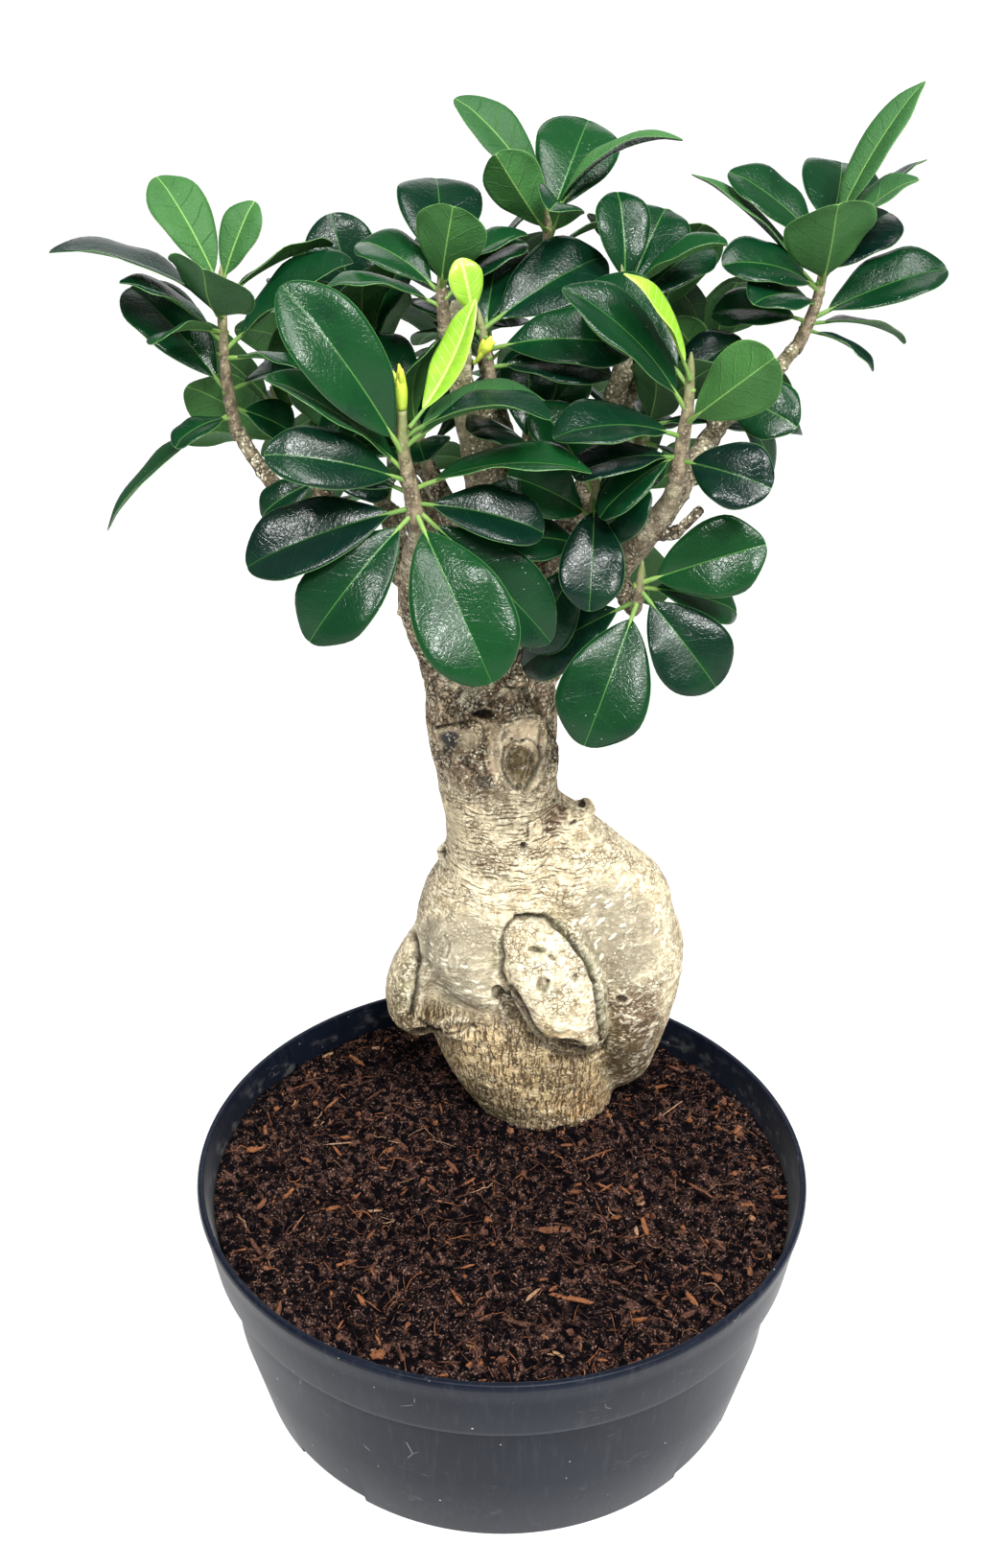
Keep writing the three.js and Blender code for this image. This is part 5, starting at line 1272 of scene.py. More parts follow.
def barkFinish():
    bark = Finish("ficusBark", Specular_IOR_Level=0.2)
    names = ("dirt", "upper", "lower", "limb", "calm")
    dirt, upper, lower, limb, calm = (bark.attribute(name) for name in names)
    tone = bark.attribute("tone", "Color")
    inputs = {"Vector": bark.stretched(6, 6, 6), "Scale": 1.0, "Detail": 2.0}
    warp = bark.node("ShaderNodeTexNoise", {}, inputs, "Color")
    bent = bark.vector("MULTIPLY_ADD", {0: warp, 1: (0.0032, 0.0032, 0.0032), 2: bark.place})
    x, y, z = bark.parts(bark.place)

    def cracked(x, y, z):
        # how near the edge of a bent cell of this size
        return bark.cells(bark.stretched(x, y, z, bent), "DISTANCE_TO_EDGE")

    def slanted(across, along, turn):
        # the place turned in the plane that faces the front, in units of these many millimetres
        cos, sin = math.cos(math.radians(turn)), math.sin(math.radians(turn))
        parts = [(cos / across, 0, sin / across), (0, 1 / across, 0), (-sin / along, 0, cos / along)]
        made = {}
        for i, part in enumerate(parts):
            part = tuple(each / mm for each in part)
            made[i] = bark.vector("DOT_PRODUCT", {0: bent, 1: part}, 1)
        return bark.node("ShaderNodeCombineXYZ", {}, made)

    fine = bark.grainOf(0.7, 3)
    mid = bark.grainOf(3.0, 4)
    neck = z.between(0.205, 0.235)
    # wrinkles that run round the neck, broken into short lengths, with pale folds between
    order = z * (1 / (2.2 * mm)) + bark.noise(bark.stretched(17, 17, 9), 3) * 5.0
    across = (order.part() - 0.5).size()
    broken = bark.noise(bark.stretched(6, 6, 1.3), 3)
    right = x.between(0.02, 0.032)
    where = lower * (neck * 0.75 + 0.25) * (1 - x.between(0.024, 0.046) * 0.75)
    wrinkles = across.between(0.2, 0.05) * broken.between(0.46, 0.58) * where
    folds = across.between(0.24, 0.42) * broken.between(0.44, 0.56) * where
    # upright grain of the part that stands in the soil
    foot = z.between(0.172, 0.158) * x.between(0.052, 0.044)
    stripes = bark.noise(bark.stretched(1.1, 1.1, 9, bent), 4).between(0.49, 0.58) * foot
    ribs = bark.noise(bark.stretched(1.0, 1.0, 5, bent), 3).between(0.5, 0.42) * foot
    # a net of fine cracks in patches
    net = cracked(2.3, 2.3, 1.7).between(0.1, 0.03) * bark.grainOf(13, 2).between(0.48, 0.6) * lower
    # the plated, furrowed bark of the trunk
    furrow = cracked(2.0, 2.0, 3.2).between(0.14, 0.03)
    furrow = furrow * upper * bark.grainOf(8, 3).between(0.4, 0.56) * (1 - calm * 0.8)
    crackle = cracked(1.9, 1.9, 1.4).between(0.15, 0.03) * bark.grainOf(7, 3).between(0.44, 0.56)
    pits = bark.cells(bark.stretched(1.7, 1.7, 1.4, bent)).between(0.3, 0.16)
    pits = pits * bark.grainOf(6, 2).between(0.5, 0.6)
    flecks = bark.noise(bark.stretched(2.2, 2.2, 1.3, bent), 3).between(0.53, 0.59)
    flecks = flecks * bark.grainOf(11, 2).between(0.42, 0.52)
    # pale breathing pores: dots above, slanting dashes on the right lobe, level ones elsewhere
    dots = bark.cells(bark.stretched(2.1, 2.1, 2.0, bent)).between(0.32, 0.2)
    dots = dots * bark.grainOf(10).between(0.42, 0.52)
    slant = bark.cells(slanted(8.6, 2.7, 40)).between(0.33, 0.25) * bark.grainOf(16).between(0.36, 0.44)
    level = bark.cells(slanted(7.6, 2.7, -8)).between(0.3, 0.22) * bark.grainOf(16).between(0.4, 0.48)
    low = lower * z.between(0.25, 0.232) * (1 - foot)
    dashes = ((slant * right).most(level * (1 - right))) * low * (calm * 0.5 + 0.5)
    pores = (dots * (upper * 0.9 + limb * 0.8 + foot * 0.9)).most(dashes).most(dots * low * 0.5)
    pale = bark.vector("SCALE", {0: tone, "Scale": 1.65})
    deep = bark.vector("MULTIPLY", {0: tone, 1: tones["shadow"]})
    rich = 1 - calm * 0.75
    colour = bark.layered(
        tone,
        (mid.between(0.5, 0.6) * 0.7 * rich, pale),
        (mid.between(0.49, 0.38) * (0.4 + upper * 0.3) * rich, deep),
        (fine.between(0.5, 0.36) * (0.5 + upper * 0.2) * rich, deep),
        (pits * (0.25 + upper * 0.3), deep),
        (crackle * (0.55 + upper * 0.4) * rich, deep),
        (flecks * (1 - foot) * (1 - limb * 0.7) * rich * 0.9, tones["fleck"]),
        (folds * 0.5 * rich, tones["fold"]),
        (ribs * 0.7, tones["rib"]),
        (stripes * 0.85, tones["stripe"]),
        (net * 0.8 * rich, tones["net"]),
        (furrow * 0.85, tones["furrow"]),
        (wrinkles * 0.85 * rich, tones["wrinkle"]),
        (pores * 0.95, tones["pore"]),
        # dark cracks and pits, together with painted shade in the creases and hollows
        (dirt, tones["dirt"]),
    )
    cuts = wrinkles * 1.2 + furrow * 1.6 + crackle * (0.3 + upper * 0.6)
    cuts = cuts + net * 0.6 + stripes * 0.6 + pits * 0.4
    height = fine * 0.5 + mid * 0.9 + pores * 0.5 - cuts
    roughness = 0.8 + fine * 0.15 - pores * 0.1
    return bark.set(Base_Color=colour, Roughness=roughness, Normal=bark.bump(height, 0.6, 0.95))


def layTwigs(finish):
    # the thin limbs, ringed and knobbly where leaves have dropped
    heap, sides = Heap({}), wood["twigSides"]
    for stations in limbs.values():
        if stations[0][3] > wood["thin"]:
            continue
        run = spline(stations, 16)
        length = lengthSoFar(run)
        run[:, :2] += 0.5 * np.column_stack([grain(run[:, :3], 14, 91), grain(run[:, :3], 14, 92)])
        rings = np.maximum(0, np.cos(length * 1.05 + stations[0][0])) ** 8
        run[:, 3] *= 1 + 0.09 * grain(run[:, :3], 8, 93) + 0.13 * rings
        around, faces = tube(run, sides, 0.5)
        middles = np.vstack([run[:1, :3], np.repeat(run[:, :3], sides, axis=0), run[-1:, :3]])
        outward = around - middles
        outward /= lengths(outward)
        thick = np.concatenate([run[:1, 3], np.repeat(run[:, 3], sides), run[-1:, 3]])
        knobs = smooth(grain(around, 6.5, 94), 0.35, 0.8)
        around += outward * (thick * (0.28 * knobs + 0.07 * grain(around, 2.4, 95)))[:, None]
        heap.add(around, faces)
    twigs = heap.piece("twigs")
    points = pointsOf(twigs.data)
    pocks = hollowness(twigs.data, points, normalsOf(twigs.data), 6)
    none = np.zeros(len(points))
    # greyer where the knobs stand proud, a painted highlight as well as wear, and darker in their hollows,
    # painted shade
    giveValues(twigs.data, tone=mixed(barkTones(points), 0.5 * smooth(pocks, -0.05, -0.3), "grey"),
               dirt=0.75 * smooth(pocks, 0.04, 0.22), upper=smooth(points[:, 2], 480, 400) * 0.8,
               lower=none, calm=none, limb=none + 1)
    hand(twigs, "twigs", ["trunk"], [finish])
    print("twigs laid:", len(twigs.data.polygons), "faces")


def makeWood():
    trunk = rawWood()
    print("wood skinned over:", len(trunk.data.polygons), "faces")
    meltJoints(trunk)
    for band in wood["finer"]:
        refineFront(trunk, *band)
    print("front made finer:", len(trunk.data.polygons), "faces")
    shapeBark(trunk)
    onlySelect(trunk)
    bpy.ops.object.shade_smooth()
    finish = barkFinish()
    hand(trunk, "wood", ["trunk"], [finish])
    layTwigs(finish)
    print("bark shaped and marked")


# The leafy stems. A leaf has its share of the stem's length, turn, lean to the front, length, width,
# turn of its face, arch and fold. A whorl has a count, a phase, lowest and highest spread, and longest leaf.
sprays = {
    "front": {"stem": [[-32, -31, 413], [-34, -34, 427], [-34, -36, 440]], "tip": "flat", "leaves": [
        [0.1, 152, 32, 67, 35, 0, 6, 10], [0.08, -138, 19, 58, 29, 5, 6, 12],
        [0.12, -107, 10, 61, 29, 20, 4, 14], [0.57, -31, -3, 68, 28, 10, 9, 16],
        [0.42, -53, 8, 57, 24, 50, 4, 24], [0.36, -70, 16, 51, 22, 15, 5, 10],
        [0.12, 135, 2, 68, 28, 10, 5, 12], [0.66, 75, 14, 52, 24, 63, 8, 20],
        [0.75, 62, -18, 53, 22, 45, 6, 14], [0.28, 82, 7, 62, 24, 55, 6, 18],
        [0.16, 101, 5, 46, 22, 20, 4, 14], [0.24, -78, -18, 44, 21, 25, 4, 14],
    ]},
    "left": {"stem": [[-102, 26, 438], [-102, 25, 455], [-101, 24, 473]], "leaves": [
        [0.95, -30, -16, 46, 21, 20, 4, 12], [0.98, 19, -12, 32, 15, 10, 2, 12],
        [0.78, 5, 60, 42, 34, 180, -3, 16], [0.83, -70, 6, 62, 29, 62, 6, 14],
        [0.6, -54, 18, 42, 22, 68, 4, 14], [0.68, -88, 55, 34, 18, 70, 3, 10],
        [0.24, -45, -18, 55, 26, 25, 4, 10], [0.55, 57, -6, 57, 27, 45, 3, 26],
        [0.9, 65, -25, 48, 22, 72, 3, 14], [0.08, -109, 40, 27, 15, 40, 3, 10],
        [0.12, -130, 4, 67, 20, 58, 4, 16], [0.27, 85, -34, 44, 22, 50, 4, 12],
        [0.16, 127, -40, 34, 20, 20, 3, 12], [0.5, 94, 28, 40, 22, 65, 3, 14],
    ]},
    "left_low": {"stem": [[-69, 20, 403], [-69, 20, 408]], "leaves": [
        [0.5, -118, -12, 26, 16, 20, 3, 8], [0.6, 100, 0, 27, 16, 20, 3, 8],
        [0.8, 30, -30, 34, 18, 20, 3, 10],
    ]},
    "centre": {"stem": [[-6, 10, 450], [-8, 11, 460]], "leaves": [
        [0.95, 57, -45, 54, 29, 10, 4, 10], [0.6, 84, 5, 52, 26, 20, 6, 14], [0.3, 92, 3, 44, 22, 30, 4, 12],
        [0.85, -62, -28, 44, 22, 30, 4, 12], [0.5, -57, -36, 42, 20, 25, 4, 12],
        [0.75, 10, -40, 46, 24, 10, 4, 12],
    ]},
    "crown_left": {"stem": [[-22, 14, 470], [-22, 14, 477]], "leaves": [
        [0.75, 10, 35, 35, 27, 180, -3, 24], [0.8, 60, -8, 35, 18, 50, 3, 18],
        [0.9, -4, -42, 44, 31, 10, 4, 10], [0.6, -60, -25, 38, 22, 30, 4, 12],
        [0.35, -78, 10, 42, 20, 60, 4, 14], [0.45, 78, -32, 38, 20, 40, 4, 12],
        [0.7, 40, -48, 36, 20, 10, 4, 12],
    ]},
    "top": {"stem": [[16, 38, 486], [16, 38, 497]], "leaves": [
        [0.93, -41, -5, 51, 20, 25, 5, 18], [0.75, 24, -40, 50, 31, 0, 3, 8],
        [0.75, 58, 4, 55, 19, 62, 9, 22], [0.6, -35, 28, 38, 22, 150, -2, 24],
        [0.5, -79, 45, 36, 18, 60, 4, 14], [0.45, -102, 74, 45, 24, 0, 8, 16],
        [0.2, 117, 34, 37, 20, 25, 4, 12], [0.3, 77, -3, 42, 18, 70, 5, 16],
        [0.16, -95, 9, 36, 18, 40, 4, 14], [0.5, -30, -50, 44, 22, 10, 4, 12],
    ]},
    "crown_right": {"stem": [[43, 18, 467], [42, 18, 474]], "leaves": [
        [0.6, 30, -38, 38, 26, 5, 4, 10], [0.7, 60, 10, 40, 19, 60, 3, 28],
        [0.75, -10, -42, 36, 20, 10, 4, 12], [0.4, -41, -46, 38, 20, 15, 4, 12],
        [0.35, 56, -30, 44, 22, 15, 4, 12], [0.3, 5, -66, 44, 23, 20, 4, 12],
    ]},
    "right_front": {"stem": [[62, -14, 427], [63, -15, 437], [63, -15, 449]], "leaves": [
        [0.85, -10, -36, 52, 28, 0, 3, 8], [0.59, -46, 4, 61, 25, 35, 6, 14],
        [0.49, 41, 40, 47, 26, 170, -3, 24], [0.35, -90, 18, 49, 25, 40, 5, 14],
        [0.14, -95, 17, 40, 22, 45, 4, 12], [0.12, 99, 36, 36, 24, 0, 3, 8],
        [0.2, -127, 8, 36, 18, 35, 3, 12],
    ]},
    "right_top": {"stem": [[114, 37, 462], [116, 38, 471], [118, 38, 489]], "leaves": [
        [0.95, 29, -4, 60, 15, 40, 4, 16], [0.84, -53, -8, 46, 24, 30, 3, 10],
        [0.89, 20, -50, 46, 30, 0, 3, 8], [0.55, -6, 44, 42, 34, 180, -2, 16],
        [0.77, 44, 15, 41, 20, 60, 4, 18], [0.89, 49, -11, 46, 14, 70, 2, 14],
        [0.5, -50, -2, 63, 17, 58, 3, 18], [0.5, -68, 15, 44, 24, 35, 5, 12],
        [0.38, -74, 47, 40, 24, 40, 4, 12], [0.24, 69, 0, 52, 27, 30, 3, 16],
        [0.2, 100, -9, 40, 18, 68, 4, 14], [0.15, 117, 23, 30, 15, 60, 3, 12],
        [0.6, 50, -28, 40, 25, 20, 3, 10], [0.22, -86, -14, 36, 20, 25, 4, 12],
    ]},
    "right_mid": {"stem": [[78, 10, 437], [79, 8, 440]], "leaves": [
        [0.6, 108, 42, 33, 22, 0, 3, 8], [0.8, 146, -14, 42, 14, 30, 3, 12],
        [0.5, 124, -26, 40, 10, 20, 3, 10],
    ]},
    "right_back": {"stem": [[82, 55, 436], [81, 64, 443]], "whorl": [7, 95, 80, 34, 38]},
    "low_right": {"stem": [[49.5, -8, 366], [50, -9, 375]], "leaves": [
        [0.85, 67, 15, 48, 29, 0, 3, 6], [0.7, 139, 20, 46, 30, 0, 4, 8], [0.45, -163, 26, 58, 34, 0, 5, 8],
        [0.75, 108, -14, 42, 22, 30, 3, 10], [0.4, -127, -17, 56, 26, 20, 4, 10],
    ]},
    "inner": {"stem": [[31, 1, 390], [33, -1, 404]], "leaves": [
        [0.7, -58, 25, 40, 22, 10, 4, 12], [0.94, -176, 36, 43, 24, 0, 4, 12],
        [0.3, -78, 25, 38, 21, 20, 4, 12], [0.25, 39, 27, 38, 20, 20, 4, 12],
        [0.95, -34, -16, 40, 21, 15, 4, 12], [0.2, -177, -8, 42, 24, 10, 4, 10],
        [0.6, 70, -10, 36, 20, 20, 4, 12],
    ]},
    "left_back": {"stem": [[-84, 57, 413], [-90, 65, 425]], "whorl": [7, 110, 80, 36, 50]},
    "left_mid": {"stem": [[-56, 51, 403], [-60, 56, 415]], "whorl": [8, 250, 82, 38, 46]},
    "mid_left": {"stem": [[-31, 28, 414], [-34, 27, 424]], "whorl": [8, 200, 84, 40, 46]},
    "mid": {"stem": [[9, 14, 412], [10, 10, 421]], "whorl": [8, 90, 84, 40, 46]},
    "mid_right": {"stem": [[54, 38, 417], [58, 38, 427]], "whorl": [8, 10, 84, 40, 46]},
    "back_left": {"stem": [[-60, 99, 424], [-66, 104, 435], [-70, 107, 446]], "whorl": [8, 20, 84, 32, 54]},
    "back": {"stem": [[-5, 119, 424], [-6, 125, 436], [-6, 129, 447]], "whorl": [8, 150, 84, 32, 54]},
    "back_right": {"stem": [[63, 99, 422], [69, 103, 433], [74, 106, 444]], "whorl": [8, 300, 84, 32, 54]},
    "low_back_left": {"stem": [[-50, 101, 375], [-57, 108, 384]], "whorl": [5, 75, 82, 40, 52]},
    "low_back_right": {"stem": [[56, 103, 374], [63, 110, 383]], "whorl": [5, 200, 82, 40, 52]},
    "top_back": {"stem": [[-9, 80, 450], [-10, 82, 460]], "whorl": [8, 330, 80, 30, 48]},
    "top_right": {"stem": [[60, 68, 453], [62, 70, 463]], "whorl": [8, 60, 80, 30, 46]},
    "top_left": {"stem": [[-52, 61, 440], [-55, 62, 451]], "leaves": [
        [0.95, -13, -4, 46, 27, 0, 3, 8],
    ], "whorl": [8, 180, 80, 28, 50]},
}

# Young leaves: the stem each stands on, its root, and then as above.
newGrowth = {
    "new_leaf_front": ["front", [-31.3, -36.9, 435], 28, -4, 45, 14, 30, -4, 20],
    "new_leaf_right": ["right_front", [62.6, -17.45, 447], -34, 10, 43, 14, 55, 3, 24],
    "new_leaf_centre": ["stub", [-11, -7.1, 465], -16, 14, 21, 12, 10, 2, 10],
}

# The buds, as courses: x, y, z, radius.
buds = {
    "bud_front": [[-34, -36, 440.35, 1.7], [-34.2, -36.2, 446, 2.2], [-34.2, -36.4, 451, 1.4],
        [-34.6, -36.6, 455, 0.3]],
    "bud_centre": [[-10.6, -3.4, 450, 0.8], [-8, -5, 453, 0.9], [-6, -6, 456, 2], [-4.6, -6.6, 459.5, 0.4]],
}


# The same rule as the model's, so that each leaf stands where its node has it.
growth = {
    "seatGap": 0.35,
    "stalkShare": 0.14,
    "leafRoom": 3,
    "ownLeafRoom": 1.7,
    "limbRoom": 1.3,
    "rootDepth": 2.5,
    "reach": 9,  # no room kept is wider than this
    "stemTop": 1.5,
    "stemTip": 7,
    "showSide": (0, -0.906, 0.423),  # the way a leaf in front turns its face
}


def unit(vector):
    return vector / np.linalg.norm(vector)


def spun(vector, axis, degrees):
    turn = math.radians(degrees)
    return (vector * math.cos(turn) + np.cross(axis, vector) * math.sin(turn)
            + axis * (axis @ vector) * (1 - math.cos(turn)))


def halfWidth(leaf, blade):
    # widest past the middle: a broad blade ends round, and a narrow one in a point
    base = 0.85
    tip = min(max(1.35 - 1.9 * leaf["width"] / leaf["length"], 0.48), 0.8)
    widest = base / (base + tip)
    scale = widest**base * (1 - widest) ** tip
    blade = np.clip(blade, 0, 1)
    return 0.5 * leaf["width"] * blade**base * (1 - blade) ** tip / scale


def ribAndNormal(leaf, shares):
    along, face, length, arch = leaf["along"], leaf["face"], leaf["length"], leaf["arch"]
    rib = leaf["root"] + np.outer(length * shares, along) + np.outer(arch * 4 * shares * (1 - shares), face)
    way = along * length + np.outer(arch * 4 * (1 - 2 * shares), face)
    way /= lengths(way)
    normal = np.cross(leaf["side"], way)
    return rib, normal / lengths(normal)


def leafPoints(leaf):
    # points spread over a leaf, and the share of its length at each
    shares = np.arange(18) / 17
    rib, normal = ribAndNormal(leaf, shares)
    blade = (shares - growth["stalkShare"]) / (1 - growth["stalkShare"])
    half = halfWidth(leaf, blade)
    fold = math.radians(leaf["fold"])
    isBlade = shares > growth["stalkShare"]
    rows, held = [rib[~isBlade]], [shares[~isBlade]]
    for step in np.linspace(-1, 1, 9):
        reach = step * half[:, None] * math.cos(fold) * leaf["side"]
        lift = abs(step) * half[:, None] * math.sin(fold) * normal
        rows.append((rib + reach + lift)[isBlade])
        held.append(shares[isBlade])
    return np.vstack(rows), np.concatenate(held)


def leafOf(root, along, face, length, width, arch, fold=0):
    return {"root": root, "along": along, "face": face, "length": length, "width": width, "arch": arch,
            "fold": fold}


def facingLeaf(root, turn, out, length, width, face, arch, fold):
    # a listed leaf: it turns in the plane that faces the photo and leans out of it
    show = np.array(growth["showSide"])
    turn, out, face = math.radians(turn), math.radians(out), math.radians(face)
    along = np.array([math.sin(turn) * math.cos(out), -math.sin(out), math.cos(turn) * math.cos(out)])
    toFront = unit(show - along * (show @ along))
    skyward = np.cross(toFront, along)
    if skyward[2] < 0:
        skyward = -skyward
    upper = toFront * math.cos(face) + skyward * math.sin(face)
    return leafOf(root, along, upper, length, width, arch, fold)


def stemLeaf(root, stemWay, round_, spread, length, width, arch):
    # a leaf set by rule, round its stem
    first = unit(np.cross(stemWay, (0.3, 1, 0.2)))
    second = np.cross(stemWay, first)
    round_, spread = math.radians(round_), math.radians(spread)
    outward = first * math.cos(round_) + second * math.sin(round_)
    along = outward * math.sin(spread) + stemWay * math.cos(spread)
    upper = stemWay * math.sin(spread) - outward * math.cos(spread)
    return leafOf(root, along, upper, length, width, arch)


def bent(leaf, swing, pitch, roll):
    # the same leaf, turned a little about its three axes
    side = unit(np.cross(leaf["along"], leaf["face"]))
    along = spun(spun(leaf["along"], leaf["face"], swing), side, pitch)
    face = spun(spun(leaf["face"], side, pitch), along, roll)
    face = unit(face - along * (face @ along))
    return {**leaf, "along": along, "face": face, "side": np.cross(along, face)}


def alongStem(places, share):
    # the place and heading at a share of the stem's length
    runs = [np.linalg.norm(after - before) for before, after in zip(places, places[1:])]
    left = share * sum(runs)
    i = 0
    while i < len(runs) - 1 and left > runs[i]:
        left -= runs[i]
        i += 1
    way = unit(places[i + 1] - places[i])
    return places[i] + way * min(left, runs[i]), way


def stemOf(name):
    before, end = (np.array(station[:3], float) for station in limbs[name][-2:])
    heading = unit(end - before)
    places = [end + heading * growth["seatGap"], *(np.array(place, float) for place in sprays[name]["stem"])]
    return {"name": name, "places": places, "heading": heading, "thick": limbs[name][-1][3] * 0.95}


def wantedLeaves(stem):
    spray = sprays[stem["name"]]
    wanted = [facingLeaf(alongStem(stem["places"], share)[0], *values)
              for share, *values in spray.get("leaves", [])]
    count, phase, lowest, highest, longest = spray.get("whorl", [0] * 5)
    for i in range(count):
        share = i / (count - 1)
        seed = phase + i
        place, way = alongStem(stem["places"], 0.22 + 0.72 * share)
        spread = lowest + (highest - lowest) * share + 10 * (chance(seed) - 0.5)
        length = longest * (0.88 + 0.2 * chance(seed + 0.3))
        width = length * (0.44 + 0.1 * chance(seed + 0.6))
        arch = 3 + 3 * chance(seed + 0.9)
        wanted.append(stemLeaf(place, way, phase + 137.5 * i, spread, length, width, arch))
    return [{**leaf, "order": i} for i, leaf in enumerate(wanted)]


class Placer:
    # remembers what stands where, and says whether a leaf has room
    def __init__(self):
        self.rows = np.zeros((0, 6))  # place, share, room, free
        self.owners = np.zeros(0, int)
        self.names = {}

    def number(self, name):
        return self.names.setdefault(name, len(self.names))

    def add(self, places, shares, owner, room=0.0, free=0.0):
        count = len(places)
        rows = np.column_stack([places, np.broadcast_to(shares, count), np.broadcast_to(room, count),
                                np.full(count, free)])
        self.rows = np.vstack([self.rows, rows])
        self.owners = np.concatenate([self.owners, np.full(count, self.number(owner))])

    def clear(self, places, shares, owner, host):
        reach = growth["reach"]
        spots = self.rows[:, :3]
        near = np.all((spots > places.min(0) - reach) & (spots < places.max(0) + reach), axis=1)
        held = self.rows[near]
        if not len(held):
            return True
        owners = self.owners[near]
        own = ((owners == self.number(owner)) | (owners == self.number(host)))[None, :]
        share, other = shares[:, None], held[None, :, 3]
        isWood = held[None, :, 4] > 0
        both = (share > 0.32) & (other > 0.32)
        beside = np.where(own, np.where(both, growth["ownLeafRoom"], 0), growth["leafRoom"])
        room = np.where(isWood, np.where(own & (share < held[None, :, 5]), 0, held[None, :, 4]), beside)
        away = np.sum((places[:, None, :] - held[None, :, :3]) ** 2, axis=2)
        return not np.any(away < room * room)


def addWood(placer, stations, owner, free):
    # keeps leaves off the wood, but for the first share of a leaf that belongs to it
    stations = np.array(stations, float)
    for before, after in zip(stations, stations[1:]):
        steps = math.ceil(np.linalg.norm(after[:3] - before[:3]) / 2.5)
        rows = before + (after - before) * (np.arange(steps + 1) / steps)[:, None]
        rows = rows[rows[:, 3] + growth["limbRoom"] < growth["reach"]]
        placer.add(rows[:, :3], 1.0, owner, rows[:, 3] + growth["limbRoom"], free)


def placeLeaves():
    bends = [(0, 0, 0)]
    for step in (5, 10, 16, 22, 30):
        bends += [(step, 0, 0), (-step, 0, 0), (0, step, 0), (0, -step, 0), (0, 0, step), (0, 0, -step)]
        bends += [(step, step, 0), (-step, step, 0), (step, -step, 0), (-step, -step, 0)]
    placer = Placer()
    stems = [stemOf(name) for name in sprays]
    for name, stations in limbs.items():
        addWood(placer, stations, name, 0.1)
    for stem in stems:
        addWood(placer, [[*place, 0.8 * stem["thick"]] for place in stem["places"]], stem["name"], 0.3)
    for name, stations in buds.items():
        addWood(placer, stations, name, 0)

    def place(leaf, owner, host):
        for shrink in (1, 0.9, 0.78):
            for bend in bends:
                tried = bent(leaf, *bend)
                tried["length"] = leaf["length"] * shrink
                tried["width"] = leaf["width"] * shrink
                places, shares = leafPoints(tried)
                if placer.clear(places, shares, owner, host):
                    placer.add(places, shares, owner)
                    return {**tried, "owner": owner}
        return None

    fresh = [place(facingLeaf(np.array(root, float), *values), name, host)
             for name, (host, root, *values) in newGrowth.items()]
    wanted = [(stem["name"], wantedLeaves(stem)) for stem in stems]
    placed = [place(leaf, name, name) for name, leaves in wanted for leaf in leaves]
    return stems, [leaf for leaf in placed if leaf], fresh


leafLook = {  # what a leaf looks like close by
    "rows": 25,
    "parts": (-1, -0.86, -0.68, -0.48, -0.28, -0.12, -0.045, 0, 0.045, 0.12, 0.28, 0.48, 0.68, 0.86, 1),
    "thick": 0.5,
    "edgeThick": 0.24,
    "soften": 0.16,  # how gently the blade folds at its rib
    "curl": 0.9,
    "wave": 0.7,
    "groove": 0.28,
    "ribRise": 0.55,
    "stalk": 0.85,
    "turnedUp": {"top": (0, 2), "right_top": (0, 4, 6), "left": (0, 1), "front": (8,)},  # show the paler side
    "veinGap": 7.4,  # millimetres between side veins
    "upper": {
        "deep": (0.0012, 0.012, 0.008), "mid": (0.0018, 0.027, 0.008), "light": (0.0065, 0.062, 0.012),
        "rib": (0.07, 0.19, 0.04), "vein": (0.01, 0.06, 0.024), "edge": (0.075, 0.19, 0.06),
    },
    "under": {
        "deep": (0.022, 0.085, 0.024), "mid": (0.036, 0.125, 0.03), "light": (0.06, 0.175, 0.042),
        "rib": (0.22, 0.4, 0.1), "vein": (0.095, 0.22, 0.06), "edge": (0.16, 0.3, 0.09),
    },
    "dust": (0.55, 0.6, 0.5),
    "values": {"blade": 3, "tint": 1, "kind": 1},  # what a point carries for its finish
    "stem": {
        "green": (0.105, 0.22, 0.04), "pale": (0.2, 0.34, 0.075), "brown": (0.1, 0.075, 0.045),
        "tan": (0.25, 0.2, 0.125), "speck": (0.52, 0.46, 0.33), "olive": (0.18, 0.22, 0.07),
    },
    "young": {
        "green": (0.19, 0.42, 0.016), "light": (0.31, 0.58, 0.035), "vein": (0.5, 0.75, 0.14),
        "rib": (0.6, 0.8, 0.22), "edge": (0.55, 0.74, 0.2),
    },
    "bud": {
        "foot": (0.3, 0.42, 0.035), "top": (0.62, 0.68, 0.06), "tip": (0.45, 0.22, 0.06),
        "shade": (0.3, 0.38, 0.04),
    },
}


